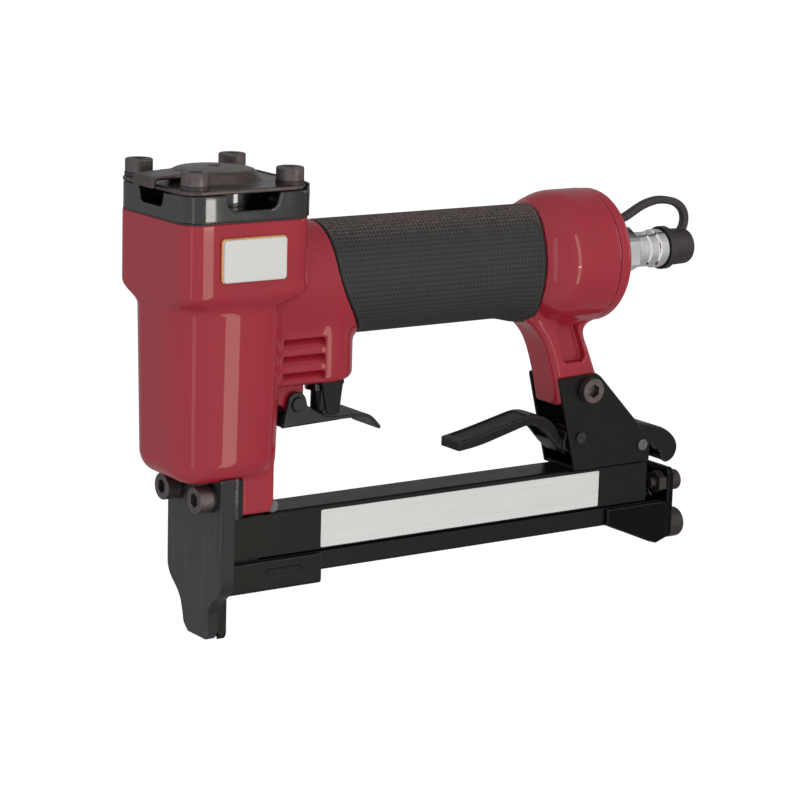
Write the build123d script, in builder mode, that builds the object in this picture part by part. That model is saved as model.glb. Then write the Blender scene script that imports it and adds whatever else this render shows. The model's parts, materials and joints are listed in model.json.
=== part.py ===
from build123d import *
from math import radians, tan
import os

os.makedirs("parts", exist_ok=True)

# Air stapler. Millimetres, +Z up. Origin at the nose tip on the drive axis,
# +X towards the air inlet, Y across the tool.

# ---- body casting ----
barrel_half_bottom = 17.75
barrel_z0 = 53.4
barrel_z1 = 105.5
barrel_taper = 1.35
barrel_corner_bottom = 6.5
barrel_roll = 6.3          # rounding under the barrel
barrel_grow = (barrel_z1 - barrel_z0) * tan(radians(barrel_taper))
head_z0 = 110.4
head_z1 = 132.7
head_front_x = -21.8
head_rear_x = 22.6
head_half_y = 22.2
head_corner = 5.9
axis_z = 110.0            # handle axis height
neck_a, neck_b = 16.1, 18.4   # handle outside half width and half height
core_a, core_b = 14.7, 17.0   # handle core under the grip
grip_gap = 0.05
valve_x = 39.0
housing_x = 36.0
housing_r = 13.0
housing_z0 = 78.7
bulb_r = 22.2
bulb_x1 = 141.5
leg_half = 7.3
foot_half = 15.4
bore_r = 15.5
trigger_x, trigger_z = 26.6, 72.1
trigger_pin_r = 2.25
nose_screw_y, nose_screw_z = 10.0, 46.5
leg_screw_x, leg_screw_z = 139.6, 66.2

# ---- cap ----
cap_z0 = 133.1
cap_z1 = 141.3
plate_t = 1.4
cap_screw_x, cap_screw_y = 16.4, 16.9
m5_r = 2.45
m5_hole_r = 2.5
m5_clear_r = 2.7
m5_head_r = 4.25

# ---- nose ----
nose_front_x = -5.5
nose_rear_x = -0.65
guide_rear_x = 2.1
nose_top_z = 53.2
nose_half = 16.5
tip_half = 7.8

# ---- magazine ----
mag_half = 7.3
mag_wall = 0.8
mag_top_z = 38.5
mag_bot_z = 24.3
mag_x1 = 168.0
slide_half = 7.1
slide_z0, slide_z1 = 17.3, 23.6
rail_half = 5.2
rail_top_z = 36.4
rod_z = 24.5
end_x0, end_x1 = 176.5, 179.3

# ---- rear bracket and latch ----
bracket_in, bracket_out = 7.4, 8.6
latch_x, latch_z = 137.9, 49.7
stop_x, stop_z = 164.5, 44.5
latch_pin_r = 2.0

# ---- drive ----
sleeve_in, sleeve_out = 12.5, 14.0
blade_t, blade_w = 1.1, 12.6
blade_tip_z = 38.6

# Front and rear edges of the rubber grip, in the XZ plane.
grip_front = [(35.0, 131.5), (35.2, 122.0), (36.0, 113.5), (39.0, 106.0), (44.0, 98.8), (51.3, 89.6)]
grip_rear_top = (113.85, 131.5)
grip_rear_bottom = (118.15, 88.5)
tilt_plane = Plane(origin=(116.0, 0, axis_z), x_dir=(0, 1, 0), z_dir=(0.995, 0, 0.0995))
mid_plane = Plane(origin=(119.8, 0, axis_z), x_dir=(0, 1, 0), z_dir=(0.9987, 0, 0.05))

# ------------------------------------------------------------------ body casting
# Barrel: a tapered rounded square whose lower edge rolls under all round.
with BuildPart() as barrel:
    with BuildSketch(Plane.XY.offset(barrel_z0)):
        RectangleRounded(2 * barrel_half_bottom, 2 * barrel_half_bottom, barrel_corner_bottom)
    extrude(amount=barrel_z1 - barrel_z0, taper=-barrel_taper)
    fillet(barrel.faces().sort_by(Axis.Z)[0].edges(), barrel_roll)

# Valve housing: a round-backed box under the front of the handle.
with BuildPart() as housing:
    with BuildSketch(Plane.XY.offset(housing_z0)):
        with Locations(((10 + housing_x) / 2, 0)):
            Rectangle(housing_x - 10, 2 * housing_r)
        with Locations((housing_x, 0)):
            Circle(housing_r)
    extrude(amount=27)
    fillet(housing.faces().sort_by(Axis.Z)[0].edges(), 2.6)

# Neck: the part of the handle ahead of the grip, with the housing, cut to the grip's front edge.
with BuildPart() as neck:
    with BuildSketch(Plane.YZ.offset(6)):
        with Locations((0, axis_z)):
            Ellipse(neck_a, neck_b)
    extrude(amount=48)
    add(housing.part)
    with BuildSketch(Plane.XZ):
        with BuildLine():
            Spline(*grip_front)
            Polyline(grip_front[-1], (75, grip_front[-1][1]), (75, 131.5), grip_front[0])
        make_face()
    extrude(amount=40, both=True, mode=Mode.SUBTRACT)

with BuildPart() as body_casting:
    add(barrel.part)
    # Shoulder between barrel and head.
    with BuildSketch(Plane.XY.offset(barrel_z1)):
        RectangleRounded(2 * (barrel_half_bottom + barrel_grow), 2 * (barrel_half_bottom + barrel_grow), barrel_corner_bottom + barrel_grow)
    with BuildSketch(Plane.XY.offset(head_z0)):
        with Locations(((head_front_x + head_rear_x) / 2, 0)):
            RectangleRounded(head_rear_x - head_front_x, 2 * head_half_y, head_corner)
    loft(ruled=True)
    # Head block.
    with BuildSketch(Plane.XY.offset(head_z0)):
        with Locations(((head_front_x + head_rear_x) / 2, 0)):
            RectangleRounded(head_rear_x - head_front_x, 2 * head_half_y, head_corner)
    extrude(amount=head_z1 - head_z0)
    fillet(body_casting.edges().filter_by(lambda e: abs(e.center().Z - head_z0) < 0.05 and e.bounding_box().size.Z < 0.1), 2.4)
    fillet(body_casting.edges().filter_by(lambda e: abs(e.center().Z - barrel_z1) < 0.05 and e.bounding_box().size.Z < 0.1), 3.0)
    add(neck.part)
    # Handle core under the grip.
    with BuildSketch(Plane.YZ.offset(30)):
        with Locations((0, axis_z)):
            Ellipse(core_a, core_b)
    extrude(amount=92)
    # Rear bulb: a shoulder swelling from the handle section to a round drum.
    with BuildSketch(tilt_plane):
        Ellipse(neck_a, neck_b / 0.995)
    with BuildSketch(mid_plane):
        Ellipse(20.1, 21.5)
    with BuildSketch(Plane.YZ.offset(126.0)):
        with Locations((0, axis_z)):
            Circle(bulb_r)
    loft()
    with BuildSketch(Plane.YZ.offset(126.0)):
        with Locations((0, axis_z)):
            Circle(bulb_r)
    extrude(amount=bulb_x1 - 126.0)
    # Leg down to the magazine.
    with BuildSketch(Plane.XZ):
        with BuildLine():
            Spline((111.0, 94.5), (118.2, 89.4), (123.2, 84.4), (126.3, 77.7), (128.3, 70.0), (130.0, 61.0))
            Polyline((130.0, 61.0), (147.6, 61.0), (143.7, 70.9), (139.9, 80.0))
            Spline((139.9, 80.0), (137.9, 85.0), (138.6, 90.5))
            Polyline((138.6, 90.5), (138.6, 100), (111.0, 100), (111.0, 94.5))
        make_face()
    extrude(amount=leg_half, both=True)
    # Foot behind the nose plates, and the hanger lip behind it.
    with BuildSketch(Plane.XZ):
        with BuildLine():
            Polyline((guide_rear_x, 62), (guide_rear_x, 41.0), (12.7, 41.0), (14.1, 43.6), (14.1, 62), (guide_rear_x, 62))
        make_face()
    extrude(amount=foot_half, both=True)
    with BuildSketch(Plane.XZ):
        with BuildLine():
            Polyline((12.0, 41.0), (18.6, 38.9), (20.0, 40.0), (20.0, 42.6), (14.0, 47.0), (12.0, 47.0), (12.0, 41.0))
        make_face()
    extrude(amount=5.6, both=True)
    # Trigger lug.
    with BuildSketch(Plane.XZ):
        with Locations((trigger_x, trigger_z)):
            Circle(3.3)
        with BuildLine():
            Polyline((12.0, 81.0), (29.9, 81.0), (29.9, 72.1), (26.6, 69.0), (18.0, 73.4), (12.0, 76.0), (12.0, 81.0))
        make_face()
    extrude(amount=6.2, both=True)
    # Louvre grooves on both sides of the web ahead of the valve.
    with BuildSketch(Plane.XZ.offset(housing_r + 1)):
        for groove_z in (81.6, 86.9, 92.1):
            with Locations((25.6, groove_z)):
                SlotOverall(15.2, 3.1)
    extrude(amount=-3.6, mode=Mode.SUBTRACT)
    with BuildSketch(Plane.XZ.offset(-housing_r - 1)):
        for groove_z in (81.6, 86.9, 92.1):
            with Locations((25.6, groove_z)):
                SlotOverall(15.2, 3.1)
    extrude(amount=3.6, mode=Mode.SUBTRACT)
    # Leg pockets on both sides.
    with BuildSketch(Plane.XZ.offset(leg_half)) as pocket:
        with BuildLine():
            Polyline((127.2, 87.3), (134.3, 88.0), (138.2, 77.6), (137.4, 75.6), (130.4, 75.6), (127.2, 87.3))
        make_face()
        fillet(pocket.vertices(), 1.0)
    extrude(amount=-2.2, mode=Mode.SUBTRACT)
    with BuildSketch(Plane.XZ.offset(-leg_half)) as pocket_far:
        with BuildLine():
            Polyline((127.2, 87.3), (134.3, 88.0), (138.2, 77.6), (137.4, 75.6), (130.4, 75.6), (127.2, 87.3))
        make_face()
        fillet(pocket_far.vertices(), 1.0)
    extrude(amount=2.2, mode=Mode.SUBTRACT)
    # Cylinder bore, and the drive slot through its floor.
    with BuildSketch(Plane.XY.offset(57.2)):
        Circle(bore_r)
    extrude(amount=80, mode=Mode.SUBTRACT)
    with BuildSketch(Plane.XY.offset(50)):
        Rectangle(2.4, 13.6)
    extrude(amount=10, mode=Mode.SUBTRACT)
    # Air reservoir in the handle and the bulb.
    with BuildSketch(Plane.YZ.offset(10)):
        with Locations((0, axis_z)):
            Ellipse(11.6, 13.8)
    extrude(amount=125, mode=Mode.SUBTRACT)
    with BuildSketch(Plane.YZ.offset(127)):
        with Locations((0, axis_z)):
            Circle(18.4)
    extrude(amount=20, mode=Mode.SUBTRACT)
    # Valve bore.
    with BuildSketch(Plane.XY.offset(70)):
        with Locations((valve_x, 0)):
            Circle(6.1)
    extrude(amount=30, mode=Mode.SUBTRACT)
    # Cap screw holes.
    with BuildSketch(Plane.XY.offset(119.4)):
        with GridLocations(2 * cap_screw_x, 2 * cap_screw_y, 2, 2):
            Circle(m5_hole_r)
    extrude(amount=20, mode=Mode.SUBTRACT)
    # Nose screw holes in the foot.
    with BuildSketch(Plane.YZ):
        with Locations((nose_screw_y, nose_screw_z), (-nose_screw_y, nose_screw_z)):
            Circle(m5_hole_r)
    extrude(amount=13.0, mode=Mode.SUBTRACT)
    # Trigger pin and leg screw holes.
    with BuildSketch(Plane.XZ):
        with Locations((trigger_x, trigger_z)):
            Circle(trigger_pin_r + 0.02)
        with Locations((leg_screw_x, leg_screw_z)):
            Circle(m5_clear_r)
        with Locations((17.7, 40.85)):
            Circle(1.55)
    extrude(amount=20, both=True, mode=Mode.SUBTRACT)
body_casting.part.label = "body_casting"
export_step(body_casting.part, "parts/body_casting.step")

# ------------------------------------------------------------------ cap group
with BuildPart() as cap_gasket:
    with BuildSketch(Plane.XY.offset(head_z1)):
        with Locations(((head_front_x + head_rear_x) / 2, 0)):
            RectangleRounded(head_rear_x - head_front_x - 0.6, 2 * head_half_y - 0.6, head_corner)
        Circle(bore_r, mode=Mode.SUBTRACT)
        with GridLocations(2 * cap_screw_x, 2 * cap_screw_y, 2, 2):
            Circle(m5_clear_r, mode=Mode.SUBTRACT)
    extrude(amount=cap_z0 - head_z1)
cap_gasket.part.label = "cap_gasket"
export_step(cap_gasket.part, "parts/cap_gasket.step")

with BuildPart() as cylinder_cap:
    with BuildSketch(Plane.XY.offset(cap_z0)):
        with Locations((0.8, 0)):
            RectangleRounded(45.2, 44.8, 6.1)
    extrude(amount=cap_z1 - cap_z0)
    # Rear lip standing behind the plate and round its corners.
    with BuildSketch(Plane.XY.offset(cap_z1)):
        with Locations((0.8, 0)):
            RectangleRounded(45.2, 44.8, 6.1)
        with Locations((0.8, 0)):
            RectangleRounded(43.0, 42.6, 5.0, mode=Mode.SUBTRACT)
        with Locations((-10.4, 0)):
            Rectangle(60, 60, mode=Mode.SUBTRACT)
    extrude(amount=1.6)
    # Valve pocket and its vent.
    with BuildSketch(Plane.XY.offset(cap_z0)):
        Circle(13.2)
    extrude(amount=6.1, mode=Mode.SUBTRACT)
    with BuildSketch(Plane.XY.offset(cap_z0)):
        Circle(5.0)
    extrude(amount=12, mode=Mode.SUBTRACT)
    # Exhaust windows, front and both sides, open under the plate.
    with BuildSketch(Plane.YZ.offset(-25)) as front_window:
        with BuildLine():
            Polyline((-7.6, cap_z1), (-6.4, 136.6), (6.4, 136.6), (7.6, cap_z1), (-7.6, cap_z1))
        make_face()
        fillet(front_window.vertices().group_by(Axis.Y)[0], 1.4)
    extrude(amount=14, mode=Mode.SUBTRACT)
    with BuildSketch(Plane.XZ) as side_window:
        with BuildLine():
            Polyline((-8.8, cap_z1), (-7.6, 136.4), (8.4, 136.4), (9.8, cap_z1), (-8.8, cap_z1))
        make_face()
        fillet(side_window.vertices().group_by(Axis.Y)[0], 2.2)
    extrude(amount=25, both=True, mode=Mode.SUBTRACT)
    # Ring wall that carries the plate between the windows.
    with BuildSketch(Plane.XY.offset(138.8)):
        Circle(13.6)
        Circle(5.0, mode=Mode.SUBTRACT)
    extrude(amount=cap_z1 - 138.8)
    with BuildSketch(Plane.XY.offset(cap_z0)):
        with GridLocations(2 * cap_screw_x, 2 * cap_screw_y, 2, 2):
            Circle(m5_clear_r)
    extrude(amount=12, mode=Mode.SUBTRACT)
cylinder_cap.part.label = "cylinder_cap"
export_step(cylinder_cap.part, "parts/cylinder_cap.step")

plate_z1 = cap_z1 + plate_t
with BuildPart() as exhaust_plate:
    with BuildSketch(Plane.XY.offset(cap_z1)):
        RectangleRounded(43.4, 43.6, 6.0)
        Circle(12.6, mode=Mode.SUBTRACT)
        with GridLocations(2 * cap_screw_x, 2 * cap_screw_y, 2, 2):
            Circle(m5_clear_r, mode=Mode.SUBTRACT)
    extrude(amount=plate_t)
    # Domed cover with a small centre hole.
    with BuildSketch(Plane.XZ):
        with BuildLine():
            Polyline((15.2, plate_z1 - 0.3), (14.6, plate_z1 + 0.5), (12.9, 145.6))
            ThreePointArc((12.9, 145.6), (12.3, 146.2), (11.4, 146.45))
            Polyline((11.4, 146.45), (2.0, 147.0), (2.0, 145.7), (11.0, 145.2), (11.6, 144.6), (12.8, plate_z1 - 0.3), (15.2, plate_z1 - 0.3))
        make_face()
    revolve(axis=Axis.Z)
    # Tongue raised over the front window, with a turned-down lip.
    with BuildSketch(Plane.XZ):
        with BuildLine():
            Polyline((-10.5, 146.0), (-23.3, 145.4))
            ThreePointArc((-23.3, 145.4), (-24.15, 145.05), (-24.5, 144.2))
            Polyline((-24.5, 144.2), (-24.5, 142.0), (-23.3, 142.0), (-23.3, 143.9), (-23.0, 144.2), (-10.5, 144.8), (-10.5, 146.0))
        make_face()
    extrude(amount=6.2, both=True)
exhaust_plate.part.label = "exhaust_plate"
export_step(exhaust_plate.part, "parts/exhaust_plate.step")

washer_z1 = plate_z1 + 1.25
with BuildPart() as cap_washers:
    with BuildSketch(Plane.XY.offset(plate_z1)):
        with GridLocations(2 * cap_screw_x, 2 * cap_screw_y, 2, 2):
            Circle(4.4)
            Circle(2.65, mode=Mode.SUBTRACT)
        with GridLocations(2 * cap_screw_x, 2 * cap_screw_y, 2, 2):
            with Locations((3.6, 0)):
                Rectangle(3.0, 0.8, mode=Mode.SUBTRACT)
    extrude(amount=washer_z1 - plate_z1)
cap_washers.part.label = "cap_washers"
export_step(cap_washers.part, "parts/cap_washers.step")

with BuildPart() as cap_screws:
    with BuildSketch(Plane.XY.offset(washer_z1)):
        with GridLocations(2 * cap_screw_x, 2 * cap_screw_y, 2, 2):
            Circle(m5_head_r)
    extrude(amount=4.05)
    fillet(cap_screws.faces().filter_by(Plane.XY).group_by(Axis.Z)[-1].edges(), 0.5)
    with BuildSketch(Plane.XY.offset(120.0)):
        with GridLocations(2 * cap_screw_x, 2 * cap_screw_y, 2, 2):
            Circle(m5_r)
    extrude(amount=washer_z1 - 120.0)
    with BuildSketch(Plane.XY.offset(washer_z1 + 4.05)):
        with GridLocations(2 * cap_screw_x, 2 * cap_screw_y, 2, 2):
            RegularPolygon(radius=2.31, side_count=6)
    extrude(amount=-2.4, mode=Mode.SUBTRACT)
cap_screws.part.label = "cap_screws"
export_step(cap_screws.part, "parts/cap_screws.step")

# ------------------------------------------------------------------ drive group
with BuildPart() as cylinder_sleeve:
    with BuildSketch(Plane.XZ):
        with BuildLine():
            Polyline((sleeve_in, 57.4), (15.35, 57.4), (15.35, 58.7), (13.7, 58.7), (13.7, 60.7), (15.35, 60.7), (15.35, 62.0),
                     (sleeve_out, 62.0), (sleeve_out, 117.2), (15.35, 117.2), (15.35, 118.6), (13.7, 118.6), (13.7, 120.6),
                     (15.35, 120.6), (15.35, 122.0), (sleeve_out, 122.0), (sleeve_out, 124.0), (sleeve_in, 124.0), (sleeve_in, 57.4))
        make_face()
    revolve(axis=Axis.Z)
    # Return air holes.
    for angle in (0, 60, 120):
        with BuildSketch(Plane(origin=(0, 0, 76), x_dir=(0, 0, 1), z_dir=Vector(1, 0, 0).rotate(Axis.Z, angle))):
            Circle(1.1)
        extrude(amount=20, both=True, mode=Mode.SUBTRACT)
cylinder_sleeve.part.label = "cylinder_sleeve"
export_step(cylinder_sleeve.part, "parts/cylinder_sleeve.step")

with BuildPart() as cylinder_o_rings:
    with BuildSketch(Plane.XZ):
        with Locations((14.55, 59.7), (14.55, 119.6)):
            Circle(0.82)
    revolve(axis=Axis.Z)
cylinder_o_rings.part.label = "cylinder_o_rings"
export_step(cylinder_o_rings.part, "parts/cylinder_o_rings.step")

with BuildPart() as bumper:
    with BuildSketch(Plane.XZ):
        with BuildLine():
            Polyline((0, 57.4), (12.2, 57.4), (12.2, 60.5), (11.4, 63.5), (12.2, 66.5), (12.2, 68.0), (11.0, 69.2), (0, 69.2), (0, 57.4))
        make_face()
    revolve(axis=Axis.Z)
    with BuildSketch(Plane.XY.offset(55)):
        Rectangle(2.4, 13.6)
    extrude(amount=20, mode=Mode.SUBTRACT)
bumper.part.label = "bumper"
export_step(bumper.part, "parts/bumper.step")

with BuildPart() as piston:
    with BuildSketch(Plane.XZ):
        with BuildLine():
            Polyline((0, 108.2), (7.5, 108.2), (7.5, 111.5), (12.4, 111.5), (12.4, 116.0), (10.6, 116.0), (10.6, 118.0),
                     (12.4, 118.0), (12.4, 123.4), (8.0, 123.4), (7.0, 121.5), (0, 121.5), (0, 108.2))
        make_face()
    revolve(axis=Axis.Z)
    with BuildSketch(Plane.XY.offset(100)):
        Rectangle(blade_t + 0.06, blade_w + 0.06)
    extrude(amount=16.0, mode=Mode.SUBTRACT)
piston.part.label = "piston"
export_step(piston.part, "parts/piston.step")

with BuildPart() as piston_o_ring:
    with BuildSketch(Plane.XZ):
        with Locations((11.54, 117.0)):
            Circle(0.88)
    revolve(axis=Axis.Z)
piston_o_ring.part.label = "piston_o_ring"
export_step(piston_o_ring.part, "parts/piston_o_ring.step")

with BuildPart() as driver_blade:
    with BuildSketch(Plane.XY.offset(blade_tip_z)):
        Rectangle(blade_t, blade_w)
    extrude(amount=115.8 - blade_tip_z)
driver_blade.part.label = "driver_blade"
export_step(driver_blade.part, "parts/driver_blade.step")

with BuildPart() as head_valve:
    with BuildSketch(Plane.XZ):
        with BuildLine():
            Polyline((0, 124.2), (15.2, 124.2), (15.2, 126.0), (13.1, 126.0), (13.1, 128.2), (15.2, 128.2), (15.2, 129.8),
                     (9.0, 129.8), (9.0, 136.0), (6.5, 136.0), (6.5, 130.5), (0, 130.5), (0, 124.2))
        make_face()
    revolve(axis=Axis.Z)
head_valve.part.label = "head_valve"
export_step(head_valve.part, "parts/head_valve.step")

with BuildPart() as head_valve_o_ring:
    with BuildSketch(Plane.XZ):
        with Locations((14.26, 127.1)):
            Circle(1.05)
    revolve(axis=Axis.Z)
head_valve_o_ring.part.label = "head_valve_o_ring"
export_step(head_valve_o_ring.part, "parts/head_valve_o_ring.step")

with BuildPart() as head_valve_spring:
    with BuildLine() as head_coil:
        Helix(pitch=2.6, height=7.4, radius=10.9, center=(0, 0, 130.7))
    with BuildSketch(Plane(origin=head_coil.line @ 0, z_dir=head_coil.line % 0)):
        Circle(0.6)
    sweep(path=head_coil.line, is_frenet=True)
head_valve_spring.part.label = "head_valve_spring"
export_step(head_valve_spring.part, "parts/head_valve_spring.step")

# ------------------------------------------------------------------ handle group
with BuildPart() as handle_grip:
    with BuildSketch(Plane.YZ.offset(30)):
        with Locations((0, axis_z)):
            Ellipse(neck_a, neck_b)
        with Locations((0, axis_z)):
            Ellipse(core_a + grip_gap, core_b + grip_gap, mode=Mode.SUBTRACT)
    extrude(amount=96)
    with BuildSketch(Plane.XZ):
        with BuildLine():
            Spline(*[(x + 0.15, z) for x, z in grip_front])
            Polyline((grip_front[-1][0] + 0.15, grip_front[-1][1]), (20, grip_front[-1][1]), (20, 131.5), (grip_front[0][0] + 0.15, 131.5))
        make_face()
    extrude(amount=40, both=True, mode=Mode.SUBTRACT)
    with BuildSketch(Plane.XZ):
        with BuildLine():
            Polyline((grip_rear_top[0] - 0.5, grip_rear_top[1]), (grip_rear_bottom[0] - 0.5, grip_rear_bottom[1]), (140, 88.5), (140, 131.5), (grip_rear_top[0] - 0.5, grip_rear_top[1]))
        make_face()
    extrude(amount=40, both=True, mode=Mode.SUBTRACT)
    # Clearance for the leg's root under the rear of the grip.
    with BuildSketch(Plane.XZ):
        with BuildLine():
            Spline((110.6, 94.1), (117.8, 89.0), (122.8, 84.0), (125.9, 77.3), (127.9, 69.6), (129.6, 60.6))
            Polyline((129.6, 60.6), (135.0, 60.6), (135.0, 100), (110.6, 100), (110.6, 94.1))
        make_face()
    extrude(amount=leg_half + 0.3, both=True, mode=Mode.SUBTRACT)
handle_grip.part.label = "handle_grip"
export_step(handle_grip.part, "parts/handle_grip.step")

with BuildPart() as end_cap:
    with BuildSketch(Plane.XZ):
        with BuildLine():
            Polyline((bulb_x1 + 0.15, axis_z + 6.45), (bulb_x1 + 0.15 - 6.2, axis_z + 6.45), (bulb_x1 + 0.15 - 6.2, axis_z + 18.3),
                     (bulb_x1 - 3.6, axis_z + 18.3), (bulb_x1 - 3.6, axis_z + 16.6), (bulb_x1 - 1.5, axis_z + 16.6), (bulb_x1 - 1.5, axis_z + 18.3),
                     (bulb_x1 + 0.15, axis_z + 18.3), (bulb_x1 + 0.15, axis_z + 22.0), (142.4, axis_z + 22.0))
            ThreePointArc((142.4, axis_z + 22.0), (145.37, axis_z + 20.77), (146.6, axis_z + 17.8))
            Polyline((146.6, axis_z + 17.8), (146.6, axis_z + 6.45), (bulb_x1 + 0.15, axis_z + 6.45))
        make_face()
    revolve(axis=Axis((0, 0, axis_z), (1, 0, 0)))
end_cap.part.label = "end_cap"
export_step(end_cap.part, "parts/end_cap.step")

with BuildPart() as end_cap_o_ring:
    with BuildSketch(Plane.XZ):
        with Locations((bulb_x1 - 2.55, axis_z + 17.5)):
            Circle(0.85)
    revolve(axis=Axis((0, 0, axis_z), (1, 0, 0)))
end_cap_o_ring.part.label = "end_cap_o_ring"
export_step(end_cap_o_ring.part, "parts/end_cap_o_ring.step")

with BuildPart() as air_plug:
    with BuildSketch(Plane.XZ):
        with BuildLine():
            Polyline((136.5, axis_z + 2.4), (136.5, axis_z + 6.4), (151.2, axis_z + 6.4), (162.0, axis_z + 6.4), (162.4, axis_z + 5.9),
                     (166.6, axis_z + 5.9), (166.9, axis_z + 5.6), (167.3, axis_z + 5.9), (170.6, axis_z + 5.9), (171.0, axis_z + 6.5),
                     (175.4, axis_z + 6.5), (175.4, axis_z + 4.2), (176.6, axis_z + 4.2), (177.2, axis_z + 3.3), (179.2, axis_z + 3.3),
                     (179.9, axis_z + 4.2), (182.6, axis_z + 4.2), (183.6, axis_z + 3.4), (183.6, axis_z + 2.4), (136.5, axis_z + 2.4))
        make_face()
    revolve(axis=Axis((0, 0, axis_z), (1, 0, 0)))
    # Hexagon, chamfered where its corners meet the faces.
    with BuildSketch(Plane(origin=(151.0, 0, axis_z), x_dir=(0, 0, 1), z_dir=(1, 0, 0))):
        RegularPolygon(radius=8.083, side_count=6)
        Circle(6.0, mode=Mode.SUBTRACT)
    extrude(amount=11.0)
    with BuildSketch(Plane.XZ):
        with BuildLine():
            Polyline((150.0, axis_z + 7.0), (152.0, axis_z + 8.3), (161.0, axis_z + 8.3), (163.0, axis_z + 7.0), (163.0, axis_z + 10), (150.0, axis_z + 10), (150.0, axis_z + 7.0))
        make_face()
    revolve(axis=Axis((0, 0, axis_z), (1, 0, 0)), mode=Mode.SUBTRACT)
air_plug.part.label = "air_plug"
export_step(air_plug.part, "parts/air_plug.step")

with BuildPart() as tether_ring:
    with BuildSketch(Plane.YZ.offset(146.8)):
        with Locations((0, axis_z)):
            Circle(9.6)
        with Locations((0, axis_z + 8.5)):
            Rectangle(5.0, 5.4)
        with Locations((0, axis_z)):
            Circle(6.6, mode=Mode.SUBTRACT)
    extrude(amount=3.0)
tether_ring.part.label = "tether_ring"
export_step(tether_ring.part, "parts/tether_ring.step")

strap_path = [(149.6, 119.6), (153.5, 119.9), (157.0, 120.6), (160.5, 121.9), (164.2, 123.8), (167.4, 125.2), (170.3, 126.0), (173.2, 126.4), (175.8, 126.3), (178.5, 125.9),
              (180.8, 125.2), (183.1, 123.8), (184.6, 122.0), (185.3, 119.8), (185.2, 117.9), (184.6, 116.2)]
with BuildPart() as tether_strap:
    with BuildSketch(Plane.XZ):
        with BuildLine():
            Spline(*strap_path)
        trace(line_width=2.6)
    extrude(amount=1.4, both=True)
    with BuildSketch(Plane.YZ.offset(149.9)):
        with Locations((0, axis_z + 8)):
            Rectangle(20, 20)
    extrude(amount=-4, mode=Mode.SUBTRACT)
    with BuildSketch(Plane.XY.offset(116.55)):
        with Locations((184, 0)):
            Rectangle(12, 12)
    extrude(amount=-4, mode=Mode.SUBTRACT)
tether_strap.part.label = "tether_strap"
export_step(tether_strap.part, "parts/tether_strap.step")

with BuildPart() as dust_cap:
    with BuildSketch(Plane.XZ):
        with BuildLine():
            Polyline((175.8, axis_z + 4.55), (175.8, axis_z + 6.8), (174.8, axis_z + 6.8), (174.8, axis_z + 7.1), (175.0, axis_z + 7.3), (177.0, axis_z + 7.3), (177.8, axis_z + 6.3), (185.1, axis_z + 6.0))
            ThreePointArc((185.1, axis_z + 6.0), (186.0, axis_z + 5.6), (186.4, axis_z + 4.6))
            Polyline((186.4, axis_z + 4.6), (186.4, axis_z), (184.4, axis_z), (184.4, axis_z + 4.55), (175.8, axis_z + 4.55))
        make_face()
    revolve(axis=Axis((0, 0, axis_z), (1, 0, 0)))
dust_cap.part.label = "dust_cap"
export_step(dust_cap.part, "parts/dust_cap.step")

# ------------------------------------------------------------------ badge
with BuildPart() as badge_bezel:
    with BuildSketch(Plane.XZ.offset(head_half_y)):
        with Locations((0.8, 121.7)):
            RectangleRounded(23.0, 13.9, 1.5)
    extrude(amount=0.7)
    fillet(badge_bezel.faces().sort_by(Axis.Y)[0].edges(), 0.3)
badge_bezel.part.label = "badge_bezel"
export_step(badge_bezel.part, "parts/badge_bezel.step")

with BuildPart() as badge_plate:
    with BuildSketch(Plane.XZ.offset(head_half_y + 0.7)):
        with Locations((1.0, 121.6)):
            RectangleRounded(21.4, 12.5, 1.0)
    extrude(amount=0.4)
    fillet(badge_plate.faces().sort_by(Axis.Y)[0].edges(), 0.2)
badge_plate.part.label = "badge_plate"
export_step(badge_plate.part, "parts/badge_plate.step")

# ------------------------------------------------------------------ trigger group
with BuildPart() as trigger:
    # Finger plate.
    with BuildSketch(Plane.XZ):
        with BuildLine():
            Polyline((21.2, 65.0), (42.0, 65.7), (50.0, 65.7))
            Spline((50.0, 65.7), (52.8, 65.2), (55.3, 63.3), (57.4, 61.0))
            Polyline((57.4, 61.0), (58.1, 61.8))
            Spline((58.1, 61.8), (56.0, 64.2), (53.4, 66.2), (50.0, 66.85))
            Polyline((50.0, 66.85), (42.0, 66.85), (21.3, 66.1), (21.2, 65.0))
        make_face()
    extrude(amount=8.0, both=True)
    # Side cheeks round the pin.
    with BuildSketch(Plane.XZ) as cheek:
        with BuildLine():
            Polyline((21.2, 65.1), (23.4, 74.2))
            ThreePointArc((23.4, 74.2), (26.6, 76.0), (29.6, 73.8))
            Polyline((29.6, 73.8), (30.2, 71.4), (33.0, 69.6), (36.8, 67.5), (42.0, 66.5), (42.0, 65.8), (21.2, 65.1))
        make_face()
    extrude(amount=8.0, both=True)
    with BuildSketch(Plane.XZ):
        with BuildLine():
            Polyline((15.0, 66.05), (20.0, 66.1), (42.0, 66.85), (45.0, 66.85), (45.0, 80), (15.0, 80), (15.0, 66.05))
        make_face()
    extrude(amount=6.9, both=True, mode=Mode.SUBTRACT)
    with BuildSketch(Plane.XZ):
        with Locations((trigger_x, trigger_z)):
            Circle(trigger_pin_r + 0.08)
    extrude(amount=20, both=True, mode=Mode.SUBTRACT)
trigger.part.label = "trigger"
export_step(trigger.part, "parts/trigger.step")

with BuildPart() as trigger_pin:
    with BuildSketch(Plane.XZ):
        with Locations((trigger_x, trigger_z)):
            Circle(trigger_pin_r)
    extrude(amount=8.7, both=True)
    chamfer(trigger_pin.faces().filter_by(Plane.XZ).edges(), 0.3)
trigger_pin.part.label = "trigger_pin"
export_step(trigger_pin.part, "parts/trigger_pin.step")

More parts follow.
